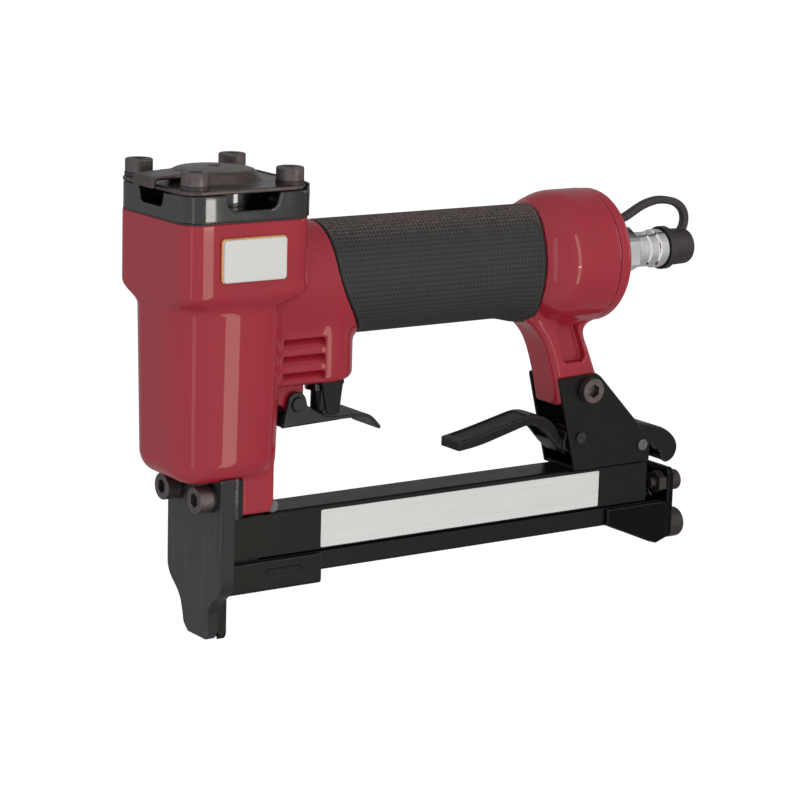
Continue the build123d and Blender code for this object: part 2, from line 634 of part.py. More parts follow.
with BuildPart() as trigger_guide:
    # Bridge under the housing and a tapered cheek down the near side of the trigger.
    with BuildSketch(Plane.XZ):
        with BuildLine():
            Polyline((34.2, housing_z0), (43.2, housing_z0), (42.6, 76.0), (41.3, 67.9), (36.2, 67.9), (34.7, 76.0), (34.2, housing_z0))
        make_face()
    extrude(amount=9.7, both=True)
    with BuildSketch(Plane.XZ):
        with BuildLine():
            Polyline((30, 60), (48, 60), (48, 77.4), (30, 77.4), (30, 60))
        make_face()
    extrude(amount=8.6, both=True, mode=Mode.SUBTRACT)
    with BuildSketch(Plane.XY.offset(60)):
        with Locations((valve_x, 16.5)):
            Rectangle(20, 20)
    extrude(amount=30, mode=Mode.SUBTRACT)
    with BuildSketch(Plane.XY.offset(70)):
        with Locations((valve_x, 0)):
            Circle(4.4)
    extrude(amount=20, mode=Mode.SUBTRACT)
trigger_guide.part.label = "trigger_guide"
export_step(trigger_guide.part, "parts/trigger_guide.step")

with BuildPart() as valve_body:
    with BuildSketch(Plane.XY.offset(79.0)):
        with Locations((valve_x, 0)):
            Circle(6.0)
    extrude(amount=16.0)
    with BuildSketch(Plane.XY.offset(74.6)):
        with Locations((valve_x, 0)):
            Circle(4.3)
    extrude(amount=5.4)
    with BuildSketch(Plane.XY.offset(60.0)):
        with Locations((valve_x, 0)):
            Circle(2.55)
    extrude(amount=30.0, mode=Mode.SUBTRACT)
    with BuildSketch(Plane.XY.offset(83.0)):
        with Locations((valve_x, 0)):
            Circle(3.6)
    extrude(amount=11.0, mode=Mode.SUBTRACT)
    with BuildSketch(Plane.XY.offset(90.0)):
        with Locations((valve_x, 0)):
            Circle(1.5)
    extrude(amount=10.0, mode=Mode.SUBTRACT)
valve_body.part.label = "valve_body"
export_step(valve_body.part, "parts/valve_body.step")

with BuildPart() as valve_stem:
    with BuildSketch(Plane(origin=(valve_x, 0, 0), x_dir=(1, 0, 0), z_dir=(0, -1, 0))):
        with BuildLine():
            Polyline((0, 66.95), (1.7, 66.95), (2.4, 67.6), (2.4, 75.2), (1.45, 75.2), (1.45, 76.4), (2.4, 76.4), (2.4, 83.6),
                     (3.3, 83.6), (3.3, 86.0), (2.15, 86.0), (2.15, 87.4), (3.3, 87.4), (3.3, 89.4), (0, 89.4), (0, 66.95))
        make_face()
    revolve(axis=Axis((valve_x, 0, 0), (0, 0, 1)))
valve_stem.part.label = "valve_stem"
export_step(valve_stem.part, "parts/valve_stem.step")

with BuildPart() as valve_o_rings:
    with BuildSketch(Plane(origin=(valve_x, 0, 0), x_dir=(1, 0, 0), z_dir=(0, -1, 0))):
        with Locations((1.97, 75.8)):
            Circle(0.5)
        with Locations((2.86, 86.7)):
            Circle(0.66)
    revolve(axis=Axis((valve_x, 0, 0), (0, 0, 1)))
valve_o_rings.part.label = "valve_o_rings"
export_step(valve_o_rings.part, "parts/valve_o_rings.step")

with BuildPart() as valve_spring:
    with BuildLine() as valve_coil:
        Helix(pitch=1.25, height=3.7, radius=2.7, center=(valve_x, 0, 89.85))
    with BuildSketch(Plane(origin=valve_coil.line @ 0, z_dir=valve_coil.line % 0)):
        Circle(0.3)
    sweep(path=valve_coil.line, is_frenet=True)
valve_spring.part.label = "valve_spring"
export_step(valve_spring.part, "parts/valve_spring.step")

# ------------------------------------------------------------------ nose group
with BuildPart() as nose_front_plate:
    with BuildSketch(Plane.YZ.offset(nose_front_x)):
        with BuildLine():
            Polyline((-5.4, 0), (5.4, 0), (7.6, 2.4), (tip_half, 6.0), (8.2, 9.4))
            Spline((8.2, 9.4), (9.8, 12.2), (13.6, 15.4), (16.0, 18.6), (nose_half, 23.0))
            Polyline((nose_half, 23.0), (nose_half, nose_top_z), (-nose_half, nose_top_z), (-nose_half, 23.0))
            Spline((-nose_half, 23.0), (-16.0, 18.6), (-13.6, 15.4), (-9.8, 12.2), (-8.2, 9.4))
            Polyline((-8.2, 9.4), (-tip_half, 6.0), (-7.6, 2.4), (-5.4, 0))
        make_face()
    extrude(amount=nose_rear_x - nose_front_x)
    # The tip is ground back towards its end.
    with BuildSketch(Plane.XZ):
        with BuildLine():
            Polyline((nose_front_x, 11.5), (nose_front_x + 1.3, 0), (nose_front_x + 1.3, -5), (nose_front_x - 5, -5), (nose_front_x - 5, 11.5), (nose_front_x, 11.5))
        make_face()
    extrude(amount=30, both=True, mode=Mode.SUBTRACT)
    with BuildSketch(Plane.YZ.offset(-20)):
        with Locations((nose_screw_y, nose_screw_z), (-nose_screw_y, nose_screw_z)):
            Circle(m5_clear_r)
    extrude(amount=30, mode=Mode.SUBTRACT)
nose_front_plate.part.label = "nose_front_plate"
export_step(nose_front_plate.part, "parts/nose_front_plate.step")

with BuildPart() as nose_guide_plate:
    with BuildSketch(Plane.YZ.offset(nose_rear_x)):
        with BuildLine():
            Polyline((-6.6, 0), (6.6, 0), (7.6, 1.6), (7.7, 40.2), (-7.7, 40.2), (-7.6, 1.6), (-6.6, 0))
        make_face()
    extrude(amount=guide_rear_x - nose_rear_x)
    # Wide upper part behind the side shims.
    with BuildSketch(Plane.YZ.offset(0.75)):
        with Locations((0, (40.0 + nose_top_z) / 2)):
            RectangleRounded(32.6, nose_top_z - 40.0, 1.2)
    extrude(amount=guide_rear_x - 0.75)
    # Drive channel and the window the staples come through.
    with BuildSketch(Plane.XY.offset(-1)):
        Rectangle(1.3, 13.0)
    extrude(amount=60, mode=Mode.SUBTRACT)
    with BuildSketch(Plane.YZ):
        with Locations((0, 28.6)):
            Rectangle(13.4, 18.6)
    extrude(amount=10, mode=Mode.SUBTRACT)
    with BuildSketch(Plane.YZ):
        with Locations((nose_screw_y, nose_screw_z), (-nose_screw_y, nose_screw_z)):
            Circle(m5_clear_r)
    extrude(amount=10, mode=Mode.SUBTRACT)
nose_guide_plate.part.label = "nose_guide_plate"
export_step(nose_guide_plate.part, "parts/nose_guide_plate.step")

with BuildPart() as nose_shims:
    with BuildSketch(Plane.YZ.offset(nose_rear_x)):
        with Locations((11.6, (40.4 + nose_top_z) / 2), (-11.6, (40.4 + nose_top_z) / 2)):
            Rectangle(9.2, nose_top_z - 40.4)
        with Locations((nose_screw_y, nose_screw_z), (-nose_screw_y, nose_screw_z)):
            Circle(m5_clear_r, mode=Mode.SUBTRACT)
    extrude(amount=0.7 - nose_rear_x)
nose_shims.part.label = "nose_shims"
export_step(nose_shims.part, "parts/nose_shims.step")

with BuildPart() as nose_washers:
    with BuildSketch(Plane.YZ.offset(nose_front_x - 1.1)):
        with Locations((nose_screw_y, nose_screw_z), (-nose_screw_y, nose_screw_z)):
            Circle(4.5)
            Circle(2.65, mode=Mode.SUBTRACT)
        with Locations((nose_screw_y, nose_screw_z - 3.6), (-nose_screw_y, nose_screw_z - 3.6)):
            Rectangle(0.8, 3.0, mode=Mode.SUBTRACT)
    extrude(amount=1.1)
nose_washers.part.label = "nose_washers"
export_step(nose_washers.part, "parts/nose_washers.step")

with BuildPart() as nose_screws:
    with BuildSketch(Plane.YZ.offset(nose_front_x - 1.1 - 5.0)):
        with Locations((nose_screw_y, nose_screw_z), (-nose_screw_y, nose_screw_z)):
            Circle(m5_head_r)
    extrude(amount=5.0)
    fillet(nose_screws.faces().filter_by(Plane.YZ).group_by(Axis.X)[0].edges(), 0.5)
    with BuildSketch(Plane.YZ.offset(nose_front_x - 1.1)):
        with Locations((nose_screw_y, nose_screw_z), (-nose_screw_y, nose_screw_z)):
            Circle(m5_r)
    extrude(amount=18.6)
    with BuildSketch(Plane.YZ.offset(nose_front_x - 1.1 - 5.0)):
        with Locations((nose_screw_y, nose_screw_z), (-nose_screw_y, nose_screw_z)):
            RegularPolygon(radius=2.31, side_count=6)
    extrude(amount=2.6, mode=Mode.SUBTRACT)
nose_screws.part.label = "nose_screws"
export_step(nose_screws.part, "parts/nose_screws.step")

# ------------------------------------------------------------------ magazine, fixed
with BuildPart() as magazine_channel:
    with BuildSketch(Plane.YZ.offset(guide_rear_x)) as channel_section:
        with BuildLine():
            Polyline((-mag_half, mag_bot_z), (-mag_half, mag_top_z), (mag_half, mag_top_z), (mag_half, mag_bot_z), (mag_half - mag_wall, mag_bot_z),
                     (mag_half - mag_wall, mag_top_z - mag_wall), (-mag_half + mag_wall, mag_top_z - mag_wall), (-mag_half + mag_wall, mag_bot_z), (-mag_half, mag_bot_z))
        make_face()
        fillet(channel_section.vertices().group_by(Axis.Y)[-1], 1.3)
    extrude(amount=mag_x1 - guide_rear_x)
magazine_channel.part.label = "magazine_channel"
export_step(magazine_channel.part, "parts/magazine_channel.step")

with BuildPart() as magazine_label:
    with BuildSketch(Plane.XZ.offset(mag_half)):
        with Locations(((36.4 + 147.4) / 2, 30.95)):
            RectangleRounded(147.4 - 36.4, 12.2, 0.5)
    extrude(amount=0.25)
magazine_label.part.label = "magazine_label"
export_step(magazine_label.part, "parts/magazine_label.step")

with BuildPart() as front_guide:
    with BuildSketch(Plane.YZ.offset(guide_rear_x)) as guide_section:
        with BuildLine():
            Polyline((-8.6, 13.5), (8.6, 13.5), (8.6, 23.3), (7.4, 23.3), (7.4, 14.7), (-7.4, 14.7), (-7.4, 23.3), (-8.6, 23.3), (-8.6, 13.5))
        make_face()
        fillet(guide_section.vertices().group_by(Axis.Y)[0], 1.1)
    extrude(amount=36.3 - guide_rear_x)
    # Oblong dimple on each side.
    with BuildSketch(Plane.XZ.offset(8.6)):
        with Locations((22.4, 19.5)):
            SlotOverall(13.4, 2.4)
    extrude(amount=-0.35, mode=Mode.SUBTRACT)
    with BuildSketch(Plane.XZ.offset(-8.6)):
        with Locations((22.4, 19.5)):
            SlotOverall(13.4, 2.4)
    extrude(amount=0.35, mode=Mode.SUBTRACT)
front_guide.part.label = "front_guide"
export_step(front_guide.part, "parts/front_guide.step")

with BuildPart() as hanger_pin:
    with BuildSketch(Plane.XZ):
        with Locations((17.7, 40.85)):
            Circle(1.5)
    extrude(amount=9.0, both=True)
    with BuildSketch(Plane.XZ.offset(7.2)):
        with Locations((17.7, 40.85)):
            Circle(2.1)
    extrude(amount=1.8)
    with BuildSketch(Plane.XZ.offset(-7.2)):
        with Locations((17.7, 40.85)):
            Circle(2.1)
    extrude(amount=-1.8)
    fillet(hanger_pin.faces().sort_by(Axis.Y)[0].edges() + hanger_pin.faces().sort_by(Axis.Y)[-1].edges(), 0.5)
hanger_pin.part.label = "hanger_pin"
export_step(hanger_pin.part, "parts/hanger_pin.step")

# ------------------------------------------------------------------ magazine, sliding
with BuildPart() as slide_rail:
    with BuildSketch(Plane.YZ.offset(4.0)) as slide_section:
        with BuildLine():
            Polyline((-slide_half, slide_z0), (slide_half, slide_z0), (slide_half, slide_z1), (slide_half - 0.6, slide_z1), (slide_half - 0.6, slide_z0 + 0.7),
                     (-slide_half + 0.6, slide_z0 + 0.7), (-slide_half + 0.6, slide_z1), (-slide_half, slide_z1), (-slide_half, slide_z0))
        make_face()
        fillet(slide_section.vertices().group_by(Axis.Y)[0], 0.9)
    extrude(amount=end_x0 - 4.0)
slide_rail.part.label = "slide_rail"
export_step(slide_rail.part, "parts/slide_rail.step")

with BuildPart() as staple_rail:
    with BuildSketch(Plane.YZ.offset(3.0)) as rail_section:
        with BuildLine():
            Polyline((-rail_half, slide_z0 + 0.7), (-rail_half, rail_top_z), (rail_half, rail_top_z), (rail_half, slide_z0 + 0.7), (rail_half - 0.8, slide_z0 + 0.7),
                     (rail_half - 0.8, rail_top_z - 0.8), (-rail_half + 0.8, rail_top_z - 0.8), (-rail_half + 0.8, slide_z0 + 0.7), (-rail_half, slide_z0 + 0.7))
        make_face()
        fillet(rail_section.vertices().group_by(Axis.Y)[-1], 0.7)
    extrude(amount=167.0)
    # Slot along the top for the pusher's neck.
    with BuildSketch(Plane.XY.offset(30)):
        with Locations((80, 0)):
            Rectangle(160, 3.4)
    extrude(amount=10, mode=Mode.SUBTRACT)
staple_rail.part.label = "staple_rail"
export_step(staple_rail.part, "parts/staple_rail.step")

with BuildPart() as slide_end_bracket:
    # End plate.
    with BuildSketch(Plane.YZ.offset(end_x0)):
        with Locations((0, 22.4)):
            RectangleRounded(18.0, 24.8, 2.2)
    extrude(amount=end_x1 - end_x0)
    # Side gussets along the rail.
    with BuildSketch(Plane.XZ):
        with BuildLine():
            Polyline((151.0, 23.2), (151.0, 17.6), (169.8, 9.7), (172.8, 8.8), (end_x0 + 0.4, 10.2), (end_x0 + 0.4, 23.2), (151.0, 23.2))
        make_face()
    extrude(amount=8.6, both=True)
    with BuildSketch(Plane.XZ):
        with BuildLine():
            Polyline((140, 0), (end_x0, 0), (end_x0, 30), (140, 30), (140, 0))
        make_face()
    extrude(amount=slide_half, both=True, mode=Mode.SUBTRACT)
    with BuildSketch(Plane.YZ.offset(end_x0 - 1)):
        with Locations((5.0, 29.6), (-5.0, 29.6), (0, 12.9)):
            Circle(2.05)
        with Locations((0, rod_z)):
            Circle(1.38)
    extrude(amount=10, mode=Mode.SUBTRACT)
slide_end_bracket.part.label = "slide_end_bracket"
export_step(slide_end_bracket.part, "parts/slide_end_bracket.step")

with BuildPart() as slide_end_screws:
    with BuildSketch(Plane.YZ.offset(end_x1)):
        with Locations((5.0, 29.6), (-5.0, 29.6)):
            Circle(3.5)
    extrude(amount=3.6)
    fillet(slide_end_screws.faces().filter_by(Plane.YZ).group_by(Axis.X)[-1].edges(), 0.4)
    with BuildSketch(Plane.YZ.offset(171.0)):
        with Locations((5.0, 29.6), (-5.0, 29.6)):
            Circle(1.98)
    extrude(amount=end_x1 - 171.0)
    with BuildSketch(Plane.YZ.offset(end_x1 + 3.6)):
        with Locations((5.0, 29.6), (-5.0, 29.6)):
            RegularPolygon(radius=1.73, side_count=6)
    extrude(amount=-2.0, mode=Mode.SUBTRACT)
slide_end_screws.part.label = "slide_end_screws"
export_step(slide_end_screws.part, "parts/slide_end_screws.step")

with BuildPart() as slide_end_nuts:
    with BuildSketch(Plane.YZ.offset(end_x0 - 3.2)):
        with Locations((5.0, 29.6), (-5.0, 29.6)):
            RegularPolygon(radius=4.04, side_count=6, rotation=30)
            Circle(2.03, mode=Mode.SUBTRACT)
    extrude(amount=3.2)
slide_end_nuts.part.label = "slide_end_nuts"
export_step(slide_end_nuts.part, "parts/slide_end_nuts.step")

with BuildPart() as slide_knob:
    with BuildSketch(Plane.YZ.offset(end_x1)):
        with Locations((0, 12.9)):
            Circle(5.15)
    extrude(amount=9.0)
    fillet(slide_knob.faces().sort_by(Axis.X)[-1].edges(), 1.2)
    with BuildSketch(Plane.YZ.offset(end_x0 - 1.5)):
        with Locations((0, 12.9)):
            Circle(2.0)
    extrude(amount=end_x1 - end_x0 + 1.5)
    with BuildSketch(Plane.YZ.offset(end_x0 - 1.5)):
        with Locations((0, 12.9)):
            Circle(3.4)
    extrude(amount=1.5)
slide_knob.part.label = "slide_knob"
export_step(slide_knob.part, "parts/slide_knob.step")

with BuildPart() as pusher_rod:
    with BuildSketch(Plane.YZ.offset(5.0)):
        with Locations((0, rod_z)):
            Circle(1.35)
    extrude(amount=end_x1 - 5.0)
pusher_rod.part.label = "pusher_rod"
export_step(pusher_rod.part, "parts/pusher_rod.step")

with BuildPart() as pusher:
    # Saddle over the staple rail, shaped like a staple.
    with BuildSketch(Plane.YZ.offset(2.45)):
        with BuildLine():
            Polyline((-6.2, 20.4), (-6.2, 37.35), (6.2, 37.35), (6.2, 20.4), (5.55, 20.4), (5.55, 36.75), (-5.55, 36.75), (-5.55, 20.4), (-6.2, 20.4))
        make_face()
    extrude(amount=12.0)
    # Block inside the rail, on a neck through its slot.
    with BuildSketch(Plane.YZ.offset(6.0)):
        with Locations((0, 26.9)):
            Rectangle(7.6, 12.6)
        with Locations((0, 35.0)):
            Rectangle(2.6, 3.8)
        with Locations((0, rod_z)):
            Circle(1.6, mode=Mode.SUBTRACT)
    extrude(amount=7.0)
pusher.part.label = "pusher"
export_step(pusher.part, "parts/pusher.step")

with BuildPart() as pusher_spring:
    with BuildLine() as pusher_coil:
        Helix(pitch=5.4, height=161.5, radius=2.45, center=(13.75, 0, rod_z), direction=(1, 0, 0))
    with BuildSketch(Plane(origin=pusher_coil.line @ 0, z_dir=pusher_coil.line % 0)):
        Circle(0.35)
    sweep(path=pusher_coil.line, is_frenet=True)
pusher_spring.part.label = "pusher_spring"
export_step(pusher_spring.part, "parts/pusher_spring.step")

# ------------------------------------------------------------------ rear bracket and latch
with BuildPart() as rear_bracket:
    with BuildSketch(Plane.XZ) as bracket_side:
        with BuildLine():
            Polyline((127.9, 70.4), (143.8, 71.1), (145.7, 69.8), (162.4, 52.3), (168.0, 45.4), (168.0, mag_top_z), (136.0, mag_top_z), (127.9, 70.4))
        make_face()
        fillet(bracket_side.vertices().sort_by(Axis.X)[-2:], 0.8)
    extrude(amount=bracket_out, both=True)
    with BuildSketch(Plane.XZ):
        with BuildLine():
            Polyline((110, 39.7), (190, 39.7), (190, 90), (110, 90), (110, 39.7))
        make_face()
    extrude(amount=bracket_in, both=True, mode=Mode.SUBTRACT)
    with BuildSketch(Plane.XZ):
        with Locations((latch_x, latch_z), (stop_x, stop_z)):
            Circle(latch_pin_r + 0.03)
        with Locations((leg_screw_x, leg_screw_z)):
            Circle(m5_clear_r)
    extrude(amount=20, both=True, mode=Mode.SUBTRACT)
rear_bracket.part.label = "rear_bracket"
export_step(rear_bracket.part, "parts/rear_bracket.step")

with BuildPart() as bracket_screw:
    with BuildSketch(Plane.XZ.offset(bracket_out)):
        with Locations((leg_screw_x, leg_screw_z)):
            Circle(m5_head_r)
    extrude(amount=4.6)
    fillet(bracket_screw.faces().sort_by(Axis.Y)[0].edges(), 0.5)
    with BuildSketch(Plane.XZ.offset(bracket_out)):
        with Locations((leg_screw_x, leg_screw_z)):
            Circle(m5_r)
    extrude(amount=-(2 * bracket_out + 5.0))
    with BuildSketch(Plane.XZ.offset(bracket_out + 4.6)):
        with Locations((leg_screw_x, leg_screw_z)):
            RegularPolygon(radius=2.31, side_count=6)
    extrude(amount=-2.6, mode=Mode.SUBTRACT)
bracket_screw.part.label = "bracket_screw"
export_step(bracket_screw.part, "parts/bracket_screw.step")

with BuildPart() as bracket_nut:
    with BuildSketch(Plane.XZ.offset(-bracket_out)):
        with Locations((leg_screw_x, leg_screw_z)):
            RegularPolygon(radius=4.62, side_count=6)
            Circle(m5_hole_r, mode=Mode.SUBTRACT)
    extrude(amount=-4.0)
bracket_nut.part.label = "bracket_nut"
export_step(bracket_nut.part, "parts/bracket_nut.step")

with BuildPart() as latch_pin:
    with BuildSketch(Plane.XZ):
        with Locations((latch_x, latch_z)):
            Circle(latch_pin_r)
    extrude(amount=9.4, both=True)
    chamfer(latch_pin.faces().filter_by(Plane.XZ).edges(), 0.3)
latch_pin.part.label = "latch_pin"
export_step(latch_pin.part, "parts/latch_pin.step")

with BuildPart() as latch_stop_pin:
    with BuildSketch(Plane.XZ):
        with Locations((stop_x, stop_z)):
            Circle(latch_pin_r)
    extrude(amount=9.4, both=True)
    chamfer(latch_stop_pin.faces().filter_by(Plane.XZ).edges(), 0.3)
latch_stop_pin.part.label = "latch_stop_pin"
export_step(latch_stop_pin.part, "parts/latch_stop_pin.step")

with BuildPart() as latch_lever:
    # Finger lever, a shallow channel.
    with BuildSketch(Plane.XZ):
        with BuildLine():
            Spline((90.6, 52.6), (98.7, 54.1), (106.7, 55.9), (114.8, 57.8), (119.9, 58.6), (125.1, 57.4), (130.0, 53.5), (133.2, 48.6), (136.6, 45.8))
            Polyline((136.6, 45.8), (136.6, 43.9), (133.8, 44.0))
            Spline((133.8, 44.0), (130.2, 47.2), (126.7, 51.0), (123.2, 53.9), (118.6, 55.1), (114.9, 54.4), (106.9, 52.3), (98.9, 50.4), (90.6, 49.3))
            Polyline((90.6, 49.3), (90.6, 52.6))
        make_face()
    extrude(amount=5.4, both=True)
    with BuildSketch(Plane.XZ):
        with BuildLine():
            Polyline((93.0, 51.5), (98.7, 52.7), (106.7, 54.5), (114.8, 56.4), (119.6, 57.2), (123.8, 56.1), (127.4, 53.0), (129.5, 50.2),
                     (127.0, 48.0), (122.0, 50.5), (106.0, 46.0), (93.0, 46.0), (93.0, 51.5))
        make_face()
    extrude(amount=4.2, both=True, mode=Mode.SUBTRACT)
    # Cheeks past the pin and the hook over the rear of the magazine.
    with BuildSketch(Plane.XZ):
        with BuildLine():
            Polyline((132.4, 48.0), (133.6, 51.6), (139.0, 54.2), (152.0, 54.0))
            Spline((152.0, 54.0), (164.2, 51.7), (171.5, 50.1), (176.4, 48.2), (179.8, 45.6), (181.8, 42.0), (181.2, 38.9), (179.1, 36.9), (177.2, 36.4))
            Polyline((177.2, 36.4), (175.4, 37.4), (174.8, 40.0), (171.8, 41.4), (168.6, 46.2), (164.5, 47.4), (152.0, 47.0), (141.0, 45.2), (136.0, 43.9), (132.4, 46.0), (132.4, 48.0))
        make_face()
    extrude(amount=6.6, both=True)
    with BuildSketch(Plane.XZ):
        with BuildLine():
            Polyline((136.6, 30), (136.6, 52.0), (139.6, 52.9), (152.0, 52.7), (164.0, 50.4), (171.1, 48.8), (175.6, 47.0), (178.7, 44.8), (180.5, 42.0),
                     (180.0, 39.6), (178.3, 37.9), (177.4, 36.0), (177.4, 30), (136.6, 30))
        make_face()
    extrude(amount=5.3, both=True, mode=Mode.SUBTRACT)
    with BuildSketch(Plane.XZ):
        with Locations((latch_x, latch_z)):
            Circle(latch_pin_r + 0.08)
    extrude(amount=20, both=True, mode=Mode.SUBTRACT)
    # Room for the coil spring on the pin.
    with BuildSketch(Plane.XZ):
        with Locations((latch_x, latch_z)):
            Circle(3.6)
    extrude(amount=5.0, both=True, mode=Mode.SUBTRACT)
latch_lever.part.label = "latch_lever"
export_step(latch_lever.part, "parts/latch_lever.step")

with BuildPart() as latch_spring:
    with BuildLine() as latch_coil:
        Helix(pitch=1.15, height=6.4, radius=2.75, center=(latch_x, -3.2, latch_z), direction=(0, 1, 0))
    with BuildSketch(Plane(origin=latch_coil.line @ 0, z_dir=latch_coil.line % 0)):
        Circle(0.4)
    sweep(path=latch_coil.line, is_frenet=True)
latch_spring.part.label = "latch_spring"
export_step(latch_spring.part, "parts/latch_spring.step")
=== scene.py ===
import json
import math

import bpy
import numpy as np
from mathutils import Matrix, Vector


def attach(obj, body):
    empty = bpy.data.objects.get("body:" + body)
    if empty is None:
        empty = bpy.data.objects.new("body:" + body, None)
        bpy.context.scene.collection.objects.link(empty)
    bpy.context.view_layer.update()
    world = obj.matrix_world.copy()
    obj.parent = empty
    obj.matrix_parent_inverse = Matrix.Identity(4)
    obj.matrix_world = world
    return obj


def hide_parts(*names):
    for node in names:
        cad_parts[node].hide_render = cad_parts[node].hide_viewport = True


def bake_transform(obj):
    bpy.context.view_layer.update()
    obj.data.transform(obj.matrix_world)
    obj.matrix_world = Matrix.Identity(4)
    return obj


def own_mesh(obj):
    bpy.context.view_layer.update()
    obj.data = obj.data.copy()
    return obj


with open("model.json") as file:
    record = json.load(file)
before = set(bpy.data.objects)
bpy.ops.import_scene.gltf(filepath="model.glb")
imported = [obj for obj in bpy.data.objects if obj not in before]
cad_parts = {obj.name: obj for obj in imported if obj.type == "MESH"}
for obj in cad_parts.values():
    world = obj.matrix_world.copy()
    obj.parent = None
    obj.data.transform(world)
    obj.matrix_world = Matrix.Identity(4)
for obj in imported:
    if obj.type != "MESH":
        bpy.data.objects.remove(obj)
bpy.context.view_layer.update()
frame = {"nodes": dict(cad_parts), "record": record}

nodes = frame["nodes"]
record = frame["record"]
node_body = {n: b for b, ns in record["behaviour"]["bodies"].items() for n in ns}
MM = 0.001
AXIS_Z = 110.0

scene = bpy.context.scene
scene.view_settings.view_transform = "Standard"
scene.view_settings.look = "None"

# ------------------------------------------------------------------ camera
cam_data = bpy.data.cameras.new("camera")
cam = bpy.data.objects.new("camera", cam_data)
scene.collection.objects.link(cam)
right = Vector((0.8264, -0.5624, 0.0279)).normalized()
back = Vector((-0.5546, -0.8044, 0.2129)).normalized()
up = back.cross(right).normalized()
right = up.cross(back).normalized()
cam.matrix_world = Matrix((
    (right.x, up.x, back.x, -0.42975),
    (right.y, up.y, back.y, -0.72540),
    (right.z, up.z, back.z, 0.25960),
    (0, 0, 0, 1),
))
cam_data.sensor_width = 36.0
cam_data.lens = 2809.389 * 36.0 / 800.0
cam_data.clip_start = 0.05
cam_data.clip_end = 60.0
scene.camera = cam


# ------------------------------------------------------------------ materials
class Look:
    """A principled material whose colour, roughness and bump come from procedural textures in object space."""

    def __init__(self, name, metallic=0.0, roughness=0.4, ior=1.5):
        self.mat = bpy.data.materials.new(name)
        self.mat.use_nodes = True
        self.tree = self.mat.node_tree
        self.tree.nodes.clear()
        self.out = self.node("ShaderNodeOutputMaterial")
        self.bsdf = self.node("ShaderNodeBsdfPrincipled")
        self.bsdf.inputs["Metallic"].default_value = metallic
        self.bsdf.inputs["Roughness"].default_value = roughness
        self.bsdf.inputs["IOR"].default_value = ior
        self.link(self.bsdf.outputs[0], self.out.inputs[0])
        self.coord = self.node("ShaderNodeTexCoord")

    def node(self, kind):
        return self.tree.nodes.new(kind)

    def link(self, a, b):
        self.tree.links.new(a, b)

    def set(self, **values):
        for key, value in values.items():
            self.bsdf.inputs[key.replace("_", " ")].default_value = value
        return self

    def mapped(self, scale=(1, 1, 1), rotation=(0, 0, 0)):
        m = self.node("ShaderNodeMapping")
        m.inputs["Scale"].default_value = scale
        m.inputs["Rotation"].default_value = rotation
        self.link(self.coord.outputs["Object"], m.inputs["Vector"])
        return m.outputs[0]

    def noise(self, scale, detail=3.0, rough=0.55, stretch=(1, 1, 1), distortion=0.0):
        n = self.node("ShaderNodeTexNoise")
        n.inputs["Scale"].default_value = scale
        n.inputs["Detail"].default_value = detail
        n.inputs["Roughness"].default_value = rough
        n.inputs["Distortion"].default_value = distortion
        self.link(self.mapped(stretch), n.inputs["Vector"])
        return n.outputs["Fac"]

    def ramp(self, fac, lo, hi, out_lo=0.0, out_hi=1.0):
        r = self.node("ShaderNodeMapRange")
        r.inputs["From Min"].default_value = lo
        r.inputs["From Max"].default_value = hi
        r.inputs["To Min"].default_value = out_lo
        r.inputs["To Max"].default_value = out_hi
        r.clamp = True
        self.link(fac, r.inputs["Value"])
        return r.outputs["Result"]

    def mix(self, fac, a, b):
        m = self.node("ShaderNodeMix")
        m.data_type = "RGBA"
        self.link(fac, m.inputs["Factor"])
        a_in = [s for s in m.inputs if s.name == "A" and s.type == "RGBA"][0]
        b_in = [s for s in m.inputs if s.name == "B" and s.type == "RGBA"][0]
        for value, socket in ((a, a_in), (b, b_in)):
            if isinstance(value, (tuple, list)):
                socket.default_value = (*value[:3], 1.0)
            else:
                self.link(value, socket)
        return [s for s in m.outputs if s.type == "RGBA"][0]

    def multiply(self, a, b):
        m = self.node("ShaderNodeMath")
        m.operation = "MULTIPLY"
        self.link(a, m.inputs[0])
        if isinstance(b, float):
            m.inputs[1].default_value = b
        else:
            self.link(b, m.inputs[1])
        return m.outputs[0]

    def edges(self, lo=0.52, hi=0.62):
        g = self.node("ShaderNodeNewGeometry")
        return self.ramp(g.outputs["Pointiness"], lo, hi)

    def facing(self, vector, lo, hi):
        """How far the surface faces a fixed direction."""
        g = self.node("ShaderNodeNewGeometry")
        d = self.node("ShaderNodeVectorMath")
        d.operation = "DOT_PRODUCT"
        d.inputs[1].default_value = vector
        self.link(g.outputs["Normal"], d.inputs[0])
        return self.ramp(d.outputs["Value"], lo, hi)

    def color(self, socket):
        self.link(socket, self.bsdf.inputs["Base Color"])
        return self

    def rough(self, socket):
        self.link(socket, self.bsdf.inputs["Roughness"])
        return self

    def bump(self, height, strength, distance):
        b = self.node("ShaderNodeBump")
        b.inputs["Strength"].default_value = strength
        b.inputs["Distance"].default_value = distance
        self.link(height, b.inputs["Height"])
        self.link(b.outputs[0], self.bsdf.inputs["Normal"])
        return self


def srgb(r, g, b):
    def f(c):
        c /= 255.0
        return c / 12.92 if c <= 0.04045 else ((c + 0.055) / 1.055) ** 2.4

    return (f(r), f(g), f(b))


